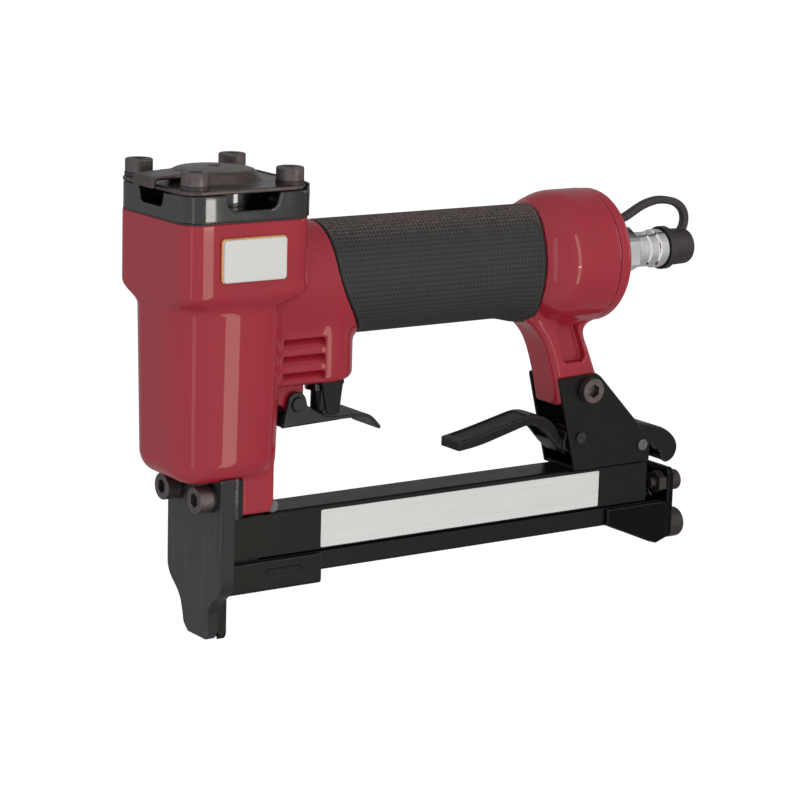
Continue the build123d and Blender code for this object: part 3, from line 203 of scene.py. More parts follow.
# Red enamel over cast alloy, under a clear gloss.
look = Look("enamel_red", roughness=0.42)
cloud = look.noise(38.0, 3.0)
fine = look.noise(900.0, 2.0)
tone = look.mix(look.ramp(cloud, 0.3, 0.7), srgb(151, 28, 45), srgb(157, 31, 48))
look.color(look.mix(look.multiply(look.edges(0.56, 0.68), look.ramp(fine, 0.5, 0.8)), tone, srgb(170, 62, 68)))
look.rough(look.ramp(look.noise(120.0, 4.0), 0.3, 0.7, 0.42, 0.52))
look.set(Coat_Weight=0.75, Coat_Roughness=0.035, Specular_IOR_Level=0.1)
look.bump(look.noise(200.0, 2.0), 0.045, 0.0004)
enamel_red = look.mat

# Black gloss enamel on the cap.
look = Look("enamel_black", roughness=0.12, ior=1.6)
look.color(look.mix(look.ramp(look.noise(60.0), 0.35, 0.65), srgb(13, 13, 14), srgb(17, 17, 18)))
look.rough(look.ramp(look.noise(160.0, 4.0), 0.3, 0.7, 0.1, 0.2))
look.set(Coat_Weight=0.25, Coat_Roughness=0.03)
look.bump(look.noise(170.0, 2.0), 0.09, 0.0004)
enamel_black = look.mat

# Satin black coating on the lever and the guide, lighter along the edges: painted edge highlights, patchy like wear.
look = Look("coat_black", roughness=0.4)
fine = look.noise(1400.0, 3.0)
base = look.mix(look.ramp(look.noise(50.0, 3.0), 0.3, 0.7), srgb(13, 11, 11), srgb(18, 15, 15))
# Lighter colour on convex edges: painted highlight.
look.color(look.mix(look.multiply(look.edges(0.51, 0.58), look.ramp(fine, 0.25, 0.6)), base, srgb(78, 77, 76)))
look.rough(look.ramp(look.noise(260.0, 5.0), 0.25, 0.75, 0.3, 0.4))
look.set(Specular_IOR_Level=0.21)
look.bump(look.noise(900.0, 2.0), 0.03, 0.0002)
coat_black = look.mat

# A darker copy of the black coating on the end bracket: painted shade, with painted highlights along its edges.
look = Look("coat_black_shaded", roughness=0.38)
fine = look.noise(1400.0, 3.0)
# Near-black base tone: painted shade.
base = look.mix(look.ramp(look.noise(50.0, 3.0), 0.3, 0.7), srgb(4, 3, 3), srgb(8, 7, 7))
look.color(look.mix(look.multiply(look.edges(0.51, 0.58), look.ramp(fine, 0.25, 0.6)), base, srgb(72, 69, 69)))
look.rough(look.ramp(look.noise(260.0, 5.0), 0.25, 0.75, 0.3, 0.4))
look.set(Specular_IOR_Level=0.08)
look.bump(look.noise(900.0, 2.0), 0.03, 0.0002)
coat_black_shaded = look.mat

# The same coating on the large flat sheets.
look = Look("coat_sheet", roughness=0.36)
drawn = look.noise(700.0, 3.0, stretch=(0.06, 1, 1))
look.color(look.mix(look.ramp(drawn, 0.3, 0.7), srgb(10, 10, 10), srgb(15, 15, 15)))
look.rough(look.ramp(look.noise(180.0, 4.0), 0.25, 0.75, 0.28, 0.38))
look.set(Specular_IOR_Level=0.21)
look.bump(drawn, 0.02, 0.0002)
coat_sheet = look.mat

# Dark phosphate on screws and washers.
look = Look("phosphate_dark", metallic=0.8, roughness=0.4)
fine = look.noise(2600.0, 3.0)
base = look.mix(look.ramp(look.noise(300.0, 4.0), 0.3, 0.7), srgb(82, 74, 75), srgb(106, 97, 98))
look.color(look.mix(look.multiply(look.edges(0.53, 0.64), look.ramp(fine, 0.35, 0.7)), base, srgb(168, 160, 159)))
look.rough(look.ramp(look.noise(700.0, 4.0), 0.3, 0.7, 0.34, 0.5))
look.bump(fine, 0.1, 0.00012)
phosphate = look.mat

# The same finish on the flat washers.
look = Look("phosphate_flat", metallic=0.8, roughness=0.42)
turned = look.noise(1900.0, 3.0)
look.color(look.mix(look.ramp(turned, 0.3, 0.7), srgb(58, 52, 53), srgb(74, 67, 68)))
look.rough(look.ramp(look.noise(700.0, 4.0), 0.3, 0.7, 0.36, 0.5))
look.bump(turned, 0.06, 0.0001)
phosphate_flat = look.mat

# Trigger: blued stamped sheet.
look = Look("blued_sheet", metallic=0.6, roughness=0.4)
base = look.mix(look.ramp(look.noise(160.0, 4.0), 0.3, 0.7), srgb(38, 39, 41), srgb(48, 49, 51))
look.color(look.mix(look.multiply(look.edges(0.53, 0.64), look.ramp(look.noise(1500.0), 0.35, 0.7)), base, srgb(98, 98, 99)))
look.rough(look.ramp(look.noise(500.0, 4.0), 0.3, 0.7, 0.34, 0.5))
look.bump(look.noise(1800.0, 3.0), 0.06, 0.00015)
blued = look.mat

# The same steel on the pusher, ground along its length.
look = Look("blued_flat", metallic=0.6, roughness=0.4)
drawn = look.noise(1300.0, 3.0, stretch=(0.08, 1, 1))
look.color(look.mix(look.ramp(drawn, 0.3, 0.7), srgb(36, 37, 39), srgb(52, 53, 55)))
look.rough(look.ramp(look.noise(500.0, 4.0), 0.3, 0.7, 0.32, 0.46))
look.bump(drawn, 0.05, 0.00012)
blued_flat = look.mat

# Brown-grey satin plate on top.
look = Look("plate_satin", metallic=0.75, roughness=0.3)
grain = look.noise(900.0, 4.0, stretch=(0.25, 1, 1))
base = look.mix(look.ramp(grain, 0.3, 0.7), srgb(78, 69, 68), srgb(92, 82, 81))
look.color(look.mix(look.multiply(look.edges(0.54, 0.66), look.ramp(look.noise(1200.0), 0.35, 0.7)), base, srgb(138, 127, 125)))
look.rough(look.ramp(look.noise(420.0, 4.0), 0.3, 0.7, 0.24, 0.34))
look.bump(grain, 0.04, 0.00012)
plate_satin = look.mat

# Ground nose steel, grain running up and down.
look = Look("nose_steel", metallic=0.6, roughness=0.45)
grain = look.noise(1500.0, 5.0, rough=0.7, stretch=(1, 1, 0.035))
base = look.mix(look.ramp(grain, 0.25, 0.75), srgb(46, 45, 47), srgb(84, 82, 84))
# Faces turned to either side get a darker tone: painted shade.
for way in (-1.0, 1.0):
    base = look.mix(look.facing((0.0, way, 0.0), 0.5, 0.95), base, srgb(44, 43, 45))
look.color(look.mix(look.multiply(look.edges(0.53, 0.64), look.ramp(look.noise(900.0), 0.35, 0.7)), base, srgb(108, 107, 109)))
look.rough(look.ramp(grain, 0.2, 0.8, 0.36, 0.54))
look.bump(grain, 0.2, 0.00018)
nose_steel = look.mat

# Bright steel for rods, springs and blades.
look = Look("steel_bright", metallic=1.0, roughness=0.32)
grain = look.noise(1800.0, 4.0, stretch=(0.2, 1, 1))
look.color(look.mix(look.ramp(grain, 0.3, 0.7), srgb(150, 150, 151), srgb(190, 190, 191)))
look.rough(look.ramp(look.noise(600.0, 4.0), 0.3, 0.7, 0.24, 0.4))
look.bump(grain, 0.1, 0.0001)
steel_bright = look.mat

# Dull steel for pins and shims.
look = Look("steel_dull", metallic=0.85, roughness=0.4)
grain = look.noise(1400.0, 4.0)
look.color(look.mix(look.ramp(grain, 0.3, 0.7), srgb(84, 86, 88), srgb(112, 114, 116)))
look.rough(look.ramp(look.noise(600.0, 4.0), 0.3, 0.7, 0.34, 0.5))
look.bump(grain, 0.1, 0.0001)
steel_dull = look.mat

# Chrome on the air plug.
look = Look("chrome", metallic=1.0, roughness=0.1)
turn = look.noise(1600.0, 3.0, stretch=(1, 0.05, 0.05))
look.color(look.mix(look.ramp(look.noise(240.0, 4.0), 0.3, 0.7), srgb(224, 226, 228), srgb(240, 241, 242)))
look.rough(look.ramp(look.noise(500.0, 4.0), 0.3, 0.7, 0.08, 0.2))
look.bump(turn, 0.05, 0.0001)
chrome = look.mat

# Brown-black moulded rubber of the strap and the dust cap.
look = Look("rubber_cap", roughness=0.5)
look.color(look.mix(look.ramp(look.noise(130.0, 4.0), 0.3, 0.7), srgb(34, 27, 28), srgb(44, 36, 38)))
look.rough(look.ramp(look.noise(420.0, 4.0), 0.3, 0.7, 0.42, 0.58))
look.bump(look.noise(1700.0, 3.0), 0.12, 0.0002)
rubber_cap = look.mat

# Charcoal rubber of the grip: painted shade darkens it between the ribs, and a painted sheen where the top light falls
# makes the upper side paler and browner, patchy with dust.
look = Look("rubber_grip", roughness=0.6)
dust = look.noise(1100.0, 4.0)
ribs = look.edges(0.47, 0.54)
# Tone in the hollows between the dashes: painted shade.
hollow_shade = look.mix(look.ramp(look.noise(60.0, 4.0), 0.3, 0.7), srgb(24, 24, 25), srgb(31, 31, 32))
high = look.mix(look.ramp(dust, 0.3, 0.7), srgb(47, 48, 49), srgb(68, 69, 70))
# Paler, browner upper side: painted sheen from the top light, broken up by dust.
dust_and_top_sheen = look.multiply(look.facing((0.0, 0.0, 1.0), 0.6, 1.0), look.ramp(dust, 0.3, 0.6))
high = look.mix(dust_and_top_sheen, high, srgb(150, 127, 123))
look.color(look.mix(ribs, hollow_shade, high))
look.rough(look.ramp(dust, 0.3, 0.7, 0.5, 0.68))
look.set(Specular_IOR_Level=0.35)
look.bump(look.noise(2400.0, 2.0), 0.08, 0.00015)
rubber_grip = look.mat

# Bare silver plate on the magazine.
look = Look("silver_plate", metallic=0.2, roughness=0.42)
grain = look.noise(1800.0, 4.0, stretch=(0.03, 1, 1))
look.color(look.mix(look.ramp(grain, 0.25, 0.75), srgb(205, 206, 208), srgb(215, 216, 218)))
look.rough(look.ramp(look.noise(300.0, 4.0), 0.3, 0.7, 0.36, 0.48))
look.bump(grain, 0.04, 0.0001)
silver_plate = look.mat

# White enamel badge and its gilt edge.
look = Look("enamel_white", roughness=0.25)
look.color(look.mix(look.ramp(look.noise(140.0, 3.0), 0.3, 0.7), srgb(208, 208, 206), srgb(211, 211, 209)))
look.rough(look.ramp(look.noise(260.0, 3.0), 0.3, 0.7, 0.2, 0.26))
look.bump(look.noise(500.0, 2.0), 0.008, 0.0002)
enamel_white = look.mat

look = Look("gilt", metallic=0.7, roughness=0.34)
look.color(look.mix(look.ramp(look.noise(500.0, 4.0), 0.3, 0.7), srgb(176, 122, 72), srgb(198, 148, 96)))
look.rough(look.ramp(look.noise(800.0, 4.0), 0.3, 0.7, 0.2, 0.36))
look.bump(look.noise(1500.0, 3.0), 0.06, 0.0001)
gilt = look.mat

look = Look("brass", metallic=1.0, roughness=0.3)
look.color(look.mix(look.ramp(look.noise(700.0, 4.0), 0.3, 0.7), srgb(176, 132, 68), srgb(206, 164, 92)))
look.rough(look.ramp(look.noise(800.0, 4.0), 0.3, 0.7, 0.22, 0.4))
look.bump(look.noise(1500.0, 3.0), 0.08, 0.0001)
brass = look.mat

look = Look("alloy", metallic=1.0, roughness=0.36)
look.color(look.mix(look.ramp(look.noise(500.0, 4.0), 0.3, 0.7), srgb(168, 168, 168), srgb(196, 196, 197)))
look.rough(look.ramp(look.noise(800.0, 4.0), 0.3, 0.7, 0.28, 0.44))
look.bump(look.noise(1500.0, 3.0, stretch=(1, 1, 0.1)), 0.08, 0.0001)
alloy = look.mat

look = Look("urethane", roughness=0.42)
look.color(look.mix(look.ramp(look.noise(120.0, 4.0), 0.3, 0.7), srgb(176, 138, 72), srgb(196, 158, 92)))
look.rough(look.ramp(look.noise(500.0, 4.0), 0.3, 0.7, 0.34, 0.5))
look.bump(look.noise(1200.0, 3.0), 0.08, 0.00015)
urethane = look.mat

looks = {
    "body_casting": enamel_red, "end_cap": enamel_red,
    "cap_gasket": rubber_cap, "cylinder_cap": enamel_black, "exhaust_plate": plate_satin,
    "cap_washers": phosphate_flat, "cap_screws": phosphate,
    "cylinder_sleeve": alloy, "cylinder_o_rings": rubber_cap, "bumper": urethane, "piston": alloy, "piston_o_ring": rubber_cap,
    "driver_blade": steel_bright, "head_valve": urethane, "head_valve_o_ring": rubber_cap, "head_valve_spring": steel_bright,
    "handle_grip": rubber_grip, "end_cap_o_ring": rubber_cap, "air_plug": chrome, "tether_ring": rubber_cap,
    "tether_strap": rubber_cap, "dust_cap": rubber_cap,
    "badge_bezel": gilt, "badge_plate": enamel_white,
    "trigger": blued, "trigger_pin": blued, "trigger_guide": coat_sheet, "valve_body": enamel_black, "valve_stem": blued_flat,
    "valve_o_rings": rubber_cap, "valve_spring": steel_bright,
    "nose_front_plate": nose_steel, "nose_guide_plate": coat_sheet, "nose_shims": nose_steel, "nose_washers": phosphate_flat,
    "nose_screws": phosphate,
    "magazine_channel": coat_sheet, "magazine_label": silver_plate, "front_guide": coat_black, "hanger_pin": steel_dull,
    "slide_rail": coat_sheet, "staple_rail": coat_sheet, "slide_end_bracket": coat_black_shaded, "slide_end_screws": phosphate_flat,
    "slide_end_nuts": phosphate_flat, "slide_knob": phosphate_flat, "pusher_rod": steel_dull, "pusher": blued_flat,
    "pusher_spring": steel_dull,
    "rear_bracket": coat_sheet, "bracket_screw": phosphate, "bracket_nut": phosphate, "latch_pin": blued,
    "latch_stop_pin": steel_dull, "latch_lever": coat_black, "latch_spring": steel_bright,
}
for name, mat in looks.items():
    mesh = nodes[name].data
    mesh.materials.clear()
    mesh.materials.append(mat)


# ------------------------------------------------------------------ meshes, in millimetres
def place(name, mesh, node):
    mesh.materials.append(looks[node])
    obj = bpy.data.objects.new(name, mesh)
    scene.collection.objects.link(obj)
    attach(obj, node_body[node])
    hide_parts(node)
    return obj


def quad_mesh(name, points, quads, normals=None):
    mesh = bpy.data.meshes.new(name)
    mesh.vertices.add(len(points))
    mesh.vertices.foreach_set("co", (np.asarray(points) * MM).astype(np.float32).ravel())
    mesh.loops.add(quads.size)
    mesh.loops.foreach_set("vertex_index", np.ascontiguousarray(quads, dtype=np.int32).ravel())
    mesh.polygons.add(len(quads))
    mesh.polygons.foreach_set("loop_start", np.arange(0, quads.size, 4, dtype=np.int32))
    mesh.update(calc_edges=True)
    mesh.polygons.foreach_set("use_smooth", np.ones(len(quads), dtype=bool))
    if normals is not None:
        mesh.normals_split_custom_set_from_vertices(np.asarray(normals, dtype=np.float32))
    return mesh


class Shell:
    """Faces gathered with a normal at each vertex."""

    def __init__(self):
        self.points, self.normals, self.faces, self.count = [], [], [], 0

    def add(self, points, normals, faces):
        points, normals = np.asarray(points, float), np.asarray(normals, float)
        for face in faces:
            a, b, c = points[face[0]], points[face[1]], points[face[2]]
            if len(face) > 3:
                loop = points[list(face)]
                flat = np.cross(loop, np.roll(loop, -1, 0)).sum(0)
            else:
                flat = np.cross(b - a, c - a)
            if flat @ normals[list(face)].mean(0) < 0:
                face = face[::-1]
            self.faces.append([i + self.count for i in face])
        self.points.append(points)
        self.normals.append(normals)
        self.count += len(points)

    def place(self, name, node):
        mesh = bpy.data.meshes.new(name)
        mesh.from_pydata(np.concatenate(self.points) * MM, [], self.faces)
        mesh.polygons.foreach_set("use_smooth", np.ones(len(self.faces), dtype=bool))
        normals = np.concatenate(self.normals)
        normals /= np.linalg.norm(normals, axis=1)[:, None]
        mesh.normals_split_custom_set_from_vertices(normals.astype(np.float32))
        return place(name, mesh, node)


def rounded(points, radius, seg=3, closed=True):
    """An outline with its corners turned into arcs. Gives points, outward normals and offset directions.
    A closed outline runs anticlockwise; an open one keeps its material on its right."""
    pts = [np.array(p, float) for p in points]
    n = len(pts)
    if closed:
        area = sum(pts[i - 1][0] * pts[i][1] - pts[i][0] * pts[i - 1][1] for i in range(n))
        if area < 0:
            pts.reverse()
            if not np.isscalar(radius):
                radius = list(radius)[::-1]
    side = -1.0 if closed else 1.0

    def normal(d):
        return side * np.array((-d[1], d[0]))

    P, N, M = [], [], []
    for i in range(n):
        if not closed and i in (0, n - 1):
            d = pts[1] - pts[0] if i == 0 else pts[-1] - pts[-2]
            d = d / np.linalg.norm(d)
            P.append(pts[i]); N.append(normal(d)); M.append(normal(d))
            continue
        before, after = pts[i] - pts[i - 1], pts[(i + 1) % n] - pts[i]
        l0, l1 = np.linalg.norm(before), np.linalg.norm(after)
        d0, d1 = before / l0, after / l1
        n0, n1 = normal(d0), normal(d1)
        turn = math.atan2(d0[0] * d1[1] - d0[1] * d1[0], d0 @ d1)
        r = radius if np.isscalar(radius) else radius[i]
        if abs(turn) < 0.25:
            m = (n0 + n1) / np.linalg.norm(n0 + n1)
            P.append(pts[i]); N.append(m); M.append(m)
        elif r <= 0:
            m = (n0 + n1) / (1 + n0 @ n1)
            P += [pts[i], pts[i]]; N += [n0, n1]; M += [m, m]
        else:
            t = min(r * math.tan(abs(turn) / 2), 0.48 * l0, 0.48 * l1)
            r = t / math.tan(abs(turn) / 2)
            convex = -1.0 if turn * side > 0 else 1.0
            centre = pts[i] - t * d0 - convex * r * n0
            for k in range(seg + 1):
                a = turn * k / seg
                m = np.array((n0[0] * math.cos(a) - n0[1] * math.sin(a), n0[0] * math.sin(a) + n0[1] * math.cos(a)))
                P.append(centre + convex * r * m); N.append(m); M.append(m)
    return np.array(P), np.array(N), np.array(M)


FRAMES = {"xz": ((1, 0, 0), (0, 0, 1), (0, 1, 0)), "xy": ((1, 0, 0), (0, 1, 0), (0, 0, 1)), "yz": ((0, 1, 0), (0, 0, 1), (1, 0, 0))}


def prism(shell, outline, lo, hi, plane, bevel=0.3, corner=0.6, seg=3):
    """A plate of any outline with rounded edges."""
    P, N, M = rounded(outline, corner, max(seg, 3))
    u, v, w = (np.array(a, float) for a in FRAMES[plane])
    rings, normals = [], []
    for sign, base in ((-1, lo), (1, hi)):
        steps = [math.pi / 2 * k / seg for k in range(seg + 1)]
        for a in (steps if sign < 0 else steps[::-1]):
            flat = P - M * bevel * (1 - math.sin(a))
            level = base - sign * bevel * (1 - math.cos(a))
            rings.append(flat[:, :1] * u + flat[:, 1:] * v + level * w)
            normals.append((N[:, :1] * u + N[:, 1:] * v) * math.sin(a) + sign * math.cos(a) * w)
    n, faces = len(P), []
    for k in range(len(rings) - 1):
        for i in range(n):
            j = (i + 1) % n
            if np.linalg.norm(P[i] - P[j]) > 1e-6:
                faces.append((k * n + i, k * n + j, (k + 1) * n + j, (k + 1) * n + i))
    keep = [i for i in range(n) if np.linalg.norm(P[i] - P[i - 1]) > 1e-6]
    last = (len(rings) - 1) * n
    faces += [tuple(keep), tuple(last + i for i in keep)]
    shell.add(np.concatenate(rings), np.concatenate(normals), faces)


def lathe(shell, profile, origin, axis, n=48, corner=0.25, seg=3, knurl=None):
    """A turned piece. The profile is (distance along the axis, radius), from one end to the other."""
    P, N, _ = rounded(profile, corner, seg, closed=False)
    axis = np.array(axis, float)
    side = np.array((0, 0, 1.0)) if abs(axis[2]) < 0.5 else np.array((1.0, 0, 0))
    e1 = np.cross(side, axis)
    e1 /= np.linalg.norm(e1)
    e2 = np.cross(axis, e1)
    angles = np.arange(n) * 2 * math.pi / n
    radial = np.cos(angles)[:, None] * e1 + np.sin(angles)[:, None] * e2
    tangent = -np.sin(angles)[:, None] * e1 + np.cos(angles)[:, None] * e2
    points, normals = [], []
    for (t, r), (nt, nr) in zip(P, N):
        depth, lean = np.zeros(n), np.zeros(n)
        if knurl and knurl[0] <= t <= knurl[1] and nr > 0.9:
            phase = np.arange(n) % 4
            depth = np.array((0.0, 0.5, 1.0, 0.5))[phase] * knurl[2]
            lean = np.array((0.0, 0.9, 0.0, -0.9))[phase]
        points.append(np.array(origin, float) + t * axis + (r - depth)[:, None] * radial)
        normals.append(nt * axis + nr * radial + lean[:, None] * tangent)
    faces = []
    for i in range(len(P) - 1):
        if np.linalg.norm(P[i] - P[i + 1]) < 1e-6:
            continue
        for j in range(n):
            k = (j + 1) % n
            if P[i][1] < 1e-6:
                faces.append((i * n + j, (i + 1) * n + j, (i + 1) * n + k))
            elif P[i + 1][1] < 1e-6:
                faces.append((i * n + j, (i + 1) * n + j, i * n + k))
            else:
                faces.append((i * n + j, i * n + k, (i + 1) * n + k, (i + 1) * n + j))
    shell.add(np.concatenate(points), np.concatenate(normals), faces)


def socket_head(shell, origin, axis, shank, under, top, head_r, shank_r, hexagon, depth):
    """A socket-head screw: knurled head, hexagon socket, plain shank."""
    n = 96
    axis = np.array(axis, float)
    origin = np.array(origin, float)
    lathe(shell, [(shank, 0), (shank, shank_r), (under, shank_r), (under, head_r), (top, head_r), (top, head_r * 0.72)], origin, axis, n,
          corner=[0, 0.3, 0, 0.15, 0.55, 0], seg=4, knurl=(under + 0.5, top - 0.9, 0.1))
    side = np.array((0, 0, 1.0)) if abs(axis[2]) < 0.5 else np.array((1.0, 0, 0))
    e1 = np.cross(side, axis)
    e1 /= np.linalg.norm(e1)
    e2 = np.cross(axis, e1)
    angles = np.arange(n) * 2 * math.pi / n
    radial = np.cos(angles)[:, None] * e1 + np.sin(angles)[:, None] * e2
    reach = hexagon * math.cos(math.pi / 6) / np.cos((angles + math.pi / 6) % (math.pi / 3) - math.pi / 6)
    rim = origin + top * axis + head_r * 0.72 * radial
    lip = origin + top * axis + (reach + 0.22)[:, None] * radial
    mouth = origin + (top - 0.2) * axis + reach[:, None] * radial
    floor_ring = origin + (top - depth) * axis + reach[:, None] * radial
    flat = np.repeat(axis[None], n, 0)
    ring = [(j, (j + 1) % n) for j in range(n)]
    shell.add(np.concatenate((rim, lip)), np.concatenate((flat, flat)), [(j, k, n + k, n + j) for j, k in ring])
    shell.add(np.concatenate((lip, mouth)), np.concatenate((flat - radial, flat - radial)), [(j, k, n + k, n + j) for j, k in ring])
    for j, k in ring:
        quad = np.array((mouth[j], mouth[k], floor_ring[k], floor_ring[j]))
        inward = -(radial[j] + radial[k])
        edge = quad[1] - quad[0]
        wall = np.cross(edge, axis)
        wall = wall if wall @ inward > 0 else -wall
        shell.add(quad, np.repeat(wall[None], 4, 0), [(0, 1, 2, 3)])
    shell.add(floor_ring, flat, [tuple(range(n))])


# ------------------------------------------------------------------ solids from distances
def rmax(a, b, r):
    return np.minimum(np.maximum(a, b), -r) + np.hypot(np.maximum(a + r, 0), np.maximum(b + r, 0))


def smin(a, b, k):
    h = np.maximum(k - np.abs(a - b), 0) / k
    return np.minimum(a, b) - h * h * k * 0.25


def smax(a, b, k):
    return -smin(-a, -b, k)


def slab(v, lo, hi):
    return np.maximum(lo - v, v - hi)


def rrect(x, y, hx, hy, r):
    qx, qy = np.abs(x) - hx + r, np.abs(y) - hy + r
    return np.hypot(np.maximum(qx, 0), np.maximum(qy, 0)) + np.minimum(np.maximum(qx, qy), 0) - r


def ellipse(u, v, a, b):
    k0 = np.maximum(np.hypot(u / a, v / b), 1e-3)
    k1 = np.maximum(np.hypot(u / a ** 2, v / b ** 2), 1e-5)
    return k0 * (k0 - 1) / k1


def step(t):
    t = np.clip(t, 0, 1)
    return t * t * (3 - 2 * t)


def curve(points, count):
    """A natural cubic spline through the points, as a polyline."""
    p = np.array(points, float)
    t = np.concatenate(([0], np.cumsum(np.hypot(*np.diff(p, axis=0).T))))
    n = len(p)
    a = np.zeros((n, n))
    b = np.zeros((n, 2))
    a[0, 0] = a[-1, -1] = 1
    h = np.diff(t)
    for i in range(1, n - 1):
        a[i, i - 1:i + 2] = h[i - 1], 2 * (h[i - 1] + h[i]), h[i]
        b[i] = 6 * ((p[i + 1] - p[i]) / h[i] - (p[i] - p[i - 1]) / h[i - 1])
    m = np.linalg.solve(a, b)
    out = []
    for s in np.linspace(0, t[-1], count):
        i = min(max(np.searchsorted(t, s) - 1, 0), n - 2)
        u, w = s - t[i], t[i + 1] - s
        out.append(m[i] * w ** 3 / (6 * h[i]) + m[i + 1] * u ** 3 / (6 * h[i])
                   + (p[i] / h[i] - m[i] * h[i] / 6) * w + (p[i + 1] / h[i] - m[i + 1] * h[i] / 6) * u)
    return np.array(out)


def outline(*parts):
    return [tuple(q) for part in parts for q in part]


def poly(px, pz, pts):
    """Signed distance to a polygon."""
    px, pz = np.broadcast_arrays(np.asarray(px, float), np.asarray(pz, float))
    d = np.full(px.shape, 1e9)
    inside = np.zeros(px.shape, bool)
    for i in range(len(pts)):
        (ax, az), (bx, bz) = pts[i - 1], pts[i]
        ex, ez = bx - ax, bz - az
        if ex * ex + ez * ez < 1e-12:
            continue
        wx, wz = px - ax, pz - az
        t = np.clip((wx * ex + wz * ez) / (ex * ex + ez * ez), 0, 1)
        d = np.minimum(d, (wx - t * ex) ** 2 + (wz - t * ez) ** 2)
        if ez:
            inside ^= ((az > pz) != (bz > pz)) & (px < ax + wz * (ex / ez))
    d = np.sqrt(d)
    return np.where(inside, -d, d)


def net(name, f, lo, hi, grid, node):
    """A closed quad mesh of the surface f = 0, with its vertices and normals taken from f."""
    axes = [np.arange(a - 1.5 * grid, b + 1.6 * grid, grid) for a, b in zip(lo, hi)]
    x, y, z = axes[0][:, None, None], axes[1][None, :, None], axes[2][None, None, :]
    shape = tuple(len(a) for a in axes)
    d = np.broadcast_to(f(x, y, z), shape)
    s = d < 0
    cells = [slice(0, -1), slice(1, None)]
    corners = [(i, j, k) for i in (0, 1) for j in (0, 1) for k in (0, 1)]
    total = sum(s[cells[i], cells[j], cells[k]].astype(np.int8) for i, j, k in corners)
    active = (total > 0) & (total < 8)
    index = np.full(active.shape, -1, np.int32)
    where = np.argwhere(active)
    index[active] = np.arange(len(where))
    value = {c: d[tuple((where + c).T)] for c in corners}
    acc, hits = np.zeros((len(where), 3)), np.zeros(len(where))
    for c in corners:
        for ax in range(3):
            if c[ax] == 0:
                e = list(c)
                e[ax] = 1
                va, vb = value[c], value[tuple(e)]
                cross = (va < 0) != (vb < 0)
                t = np.where(cross, va / np.where(cross, va - vb, 1), 0)
                point = np.array(c, float)[None] + t[:, None] * np.eye(3)[ax]
                acc += np.where(cross[:, None], point, 0)
                hits += cross
    p = np.array([a[0] for a in axes]) + (where + acc / hits[:, None]) * grid

    def at(q):
        return f(q[:, 0], q[:, 1], q[:, 2])

    for _ in range(2):
        v = at(p)
        g = np.stack([(at(p + np.eye(3)[k] * 0.03) - v) / 0.03 for k in range(3)], 1)
        move = -v[:, None] * g / np.maximum((g * g).sum(1), 0.05)[:, None]
        size = np.linalg.norm(move, axis=1)
        p = p + move * np.minimum(1, 0.7 * grid / np.maximum(size, 1e-9))[:, None]
    g = np.stack([at(p + np.eye(3)[k] * 0.05) - at(p - np.eye(3)[k] * 0.05) for k in range(3)], 1)
    normals = g / np.maximum(np.linalg.norm(g, axis=1), 1e-9)[:, None]

    quads = []
    core = slice(1, -1)
    for ax in range(3):
        first, second = [core] * 3, [core] * 3
        first[ax], second[ax] = slice(0, -1), slice(1, None)
        a, b = s[tuple(first)], s[tuple(second)]
        e = np.argwhere(a != b)
        inside = a[tuple(e.T)]
        m, n = (ax + 1) % 3, (ax + 2) % 3
        loop = []
        for dm, dn in ((0, 0), (1, 0), (1, 1), (0, 1)):
            q = e.copy()
            q[:, m] += dm
            q[:, n] += dn
            loop.append(index[tuple(q.T)])
        loop = np.stack(loop, 1)
        quads.append(np.where(inside[:, None], loop, loop[:, ::-1]))
    return place(name, quad_mesh(name, p, np.concatenate(quads), normals), node)


# ------------------------------------------------------------------ red body
FRONT = curve([(35.0, 131.5), (35.2, 122.0), (36.0, 113.5), (39.0, 106.0), (44.0, 98.8), (51.3, 89.6)], 60)[::-1]


def front_edge(z):
    """Front edge of the rubber grip."""
    return np.interp(z, FRONT[:, 1], FRONT[:, 0])


def rear_edge(z):
    """Foot of the shoulder behind the rubber grip."""
    return 115.6 + 0.00055 * np.minimum(np.abs(z - AXIS_Z), 19.0) ** 3


LEG = outline(curve([(110.4, 94.5), (117.4, 89.2), (122.1, 84.2), (125.2, 77.7), (127.6, 70.0), (129.7, 61.0)], 22),
              [(148.9, 61.0), (145.1, 70.9)], curve([(141.3, 80.0), (139.3, 85.0), (139.9, 90.5)], 9), [(139.9, 100.0), (111.0, 100.0)])
POCKET = [(128.3, 87.0), (134.9, 87.6), (138.9, 77.4), (138.2, 76.0), (131.5, 76.0)]
FOOT = [(2.1, 62.0), (2.1, 41.0), (12.7, 41.0), (14.1, 43.6), (14.1, 62.0)]
LIP = [(12.0, 41.0), (18.6, 38.9), (20.0, 40.0), (20.0, 42.6), (14.0, 47.0), (12.0, 47.0)]
LUG = [(12.0, 81.0), (29.9, 81.0), (29.9, 72.1), (26.6, 69.0), (18.0, 73.4), (12.0, 76.0)]
GROW = math.tan(math.radians(1.35))


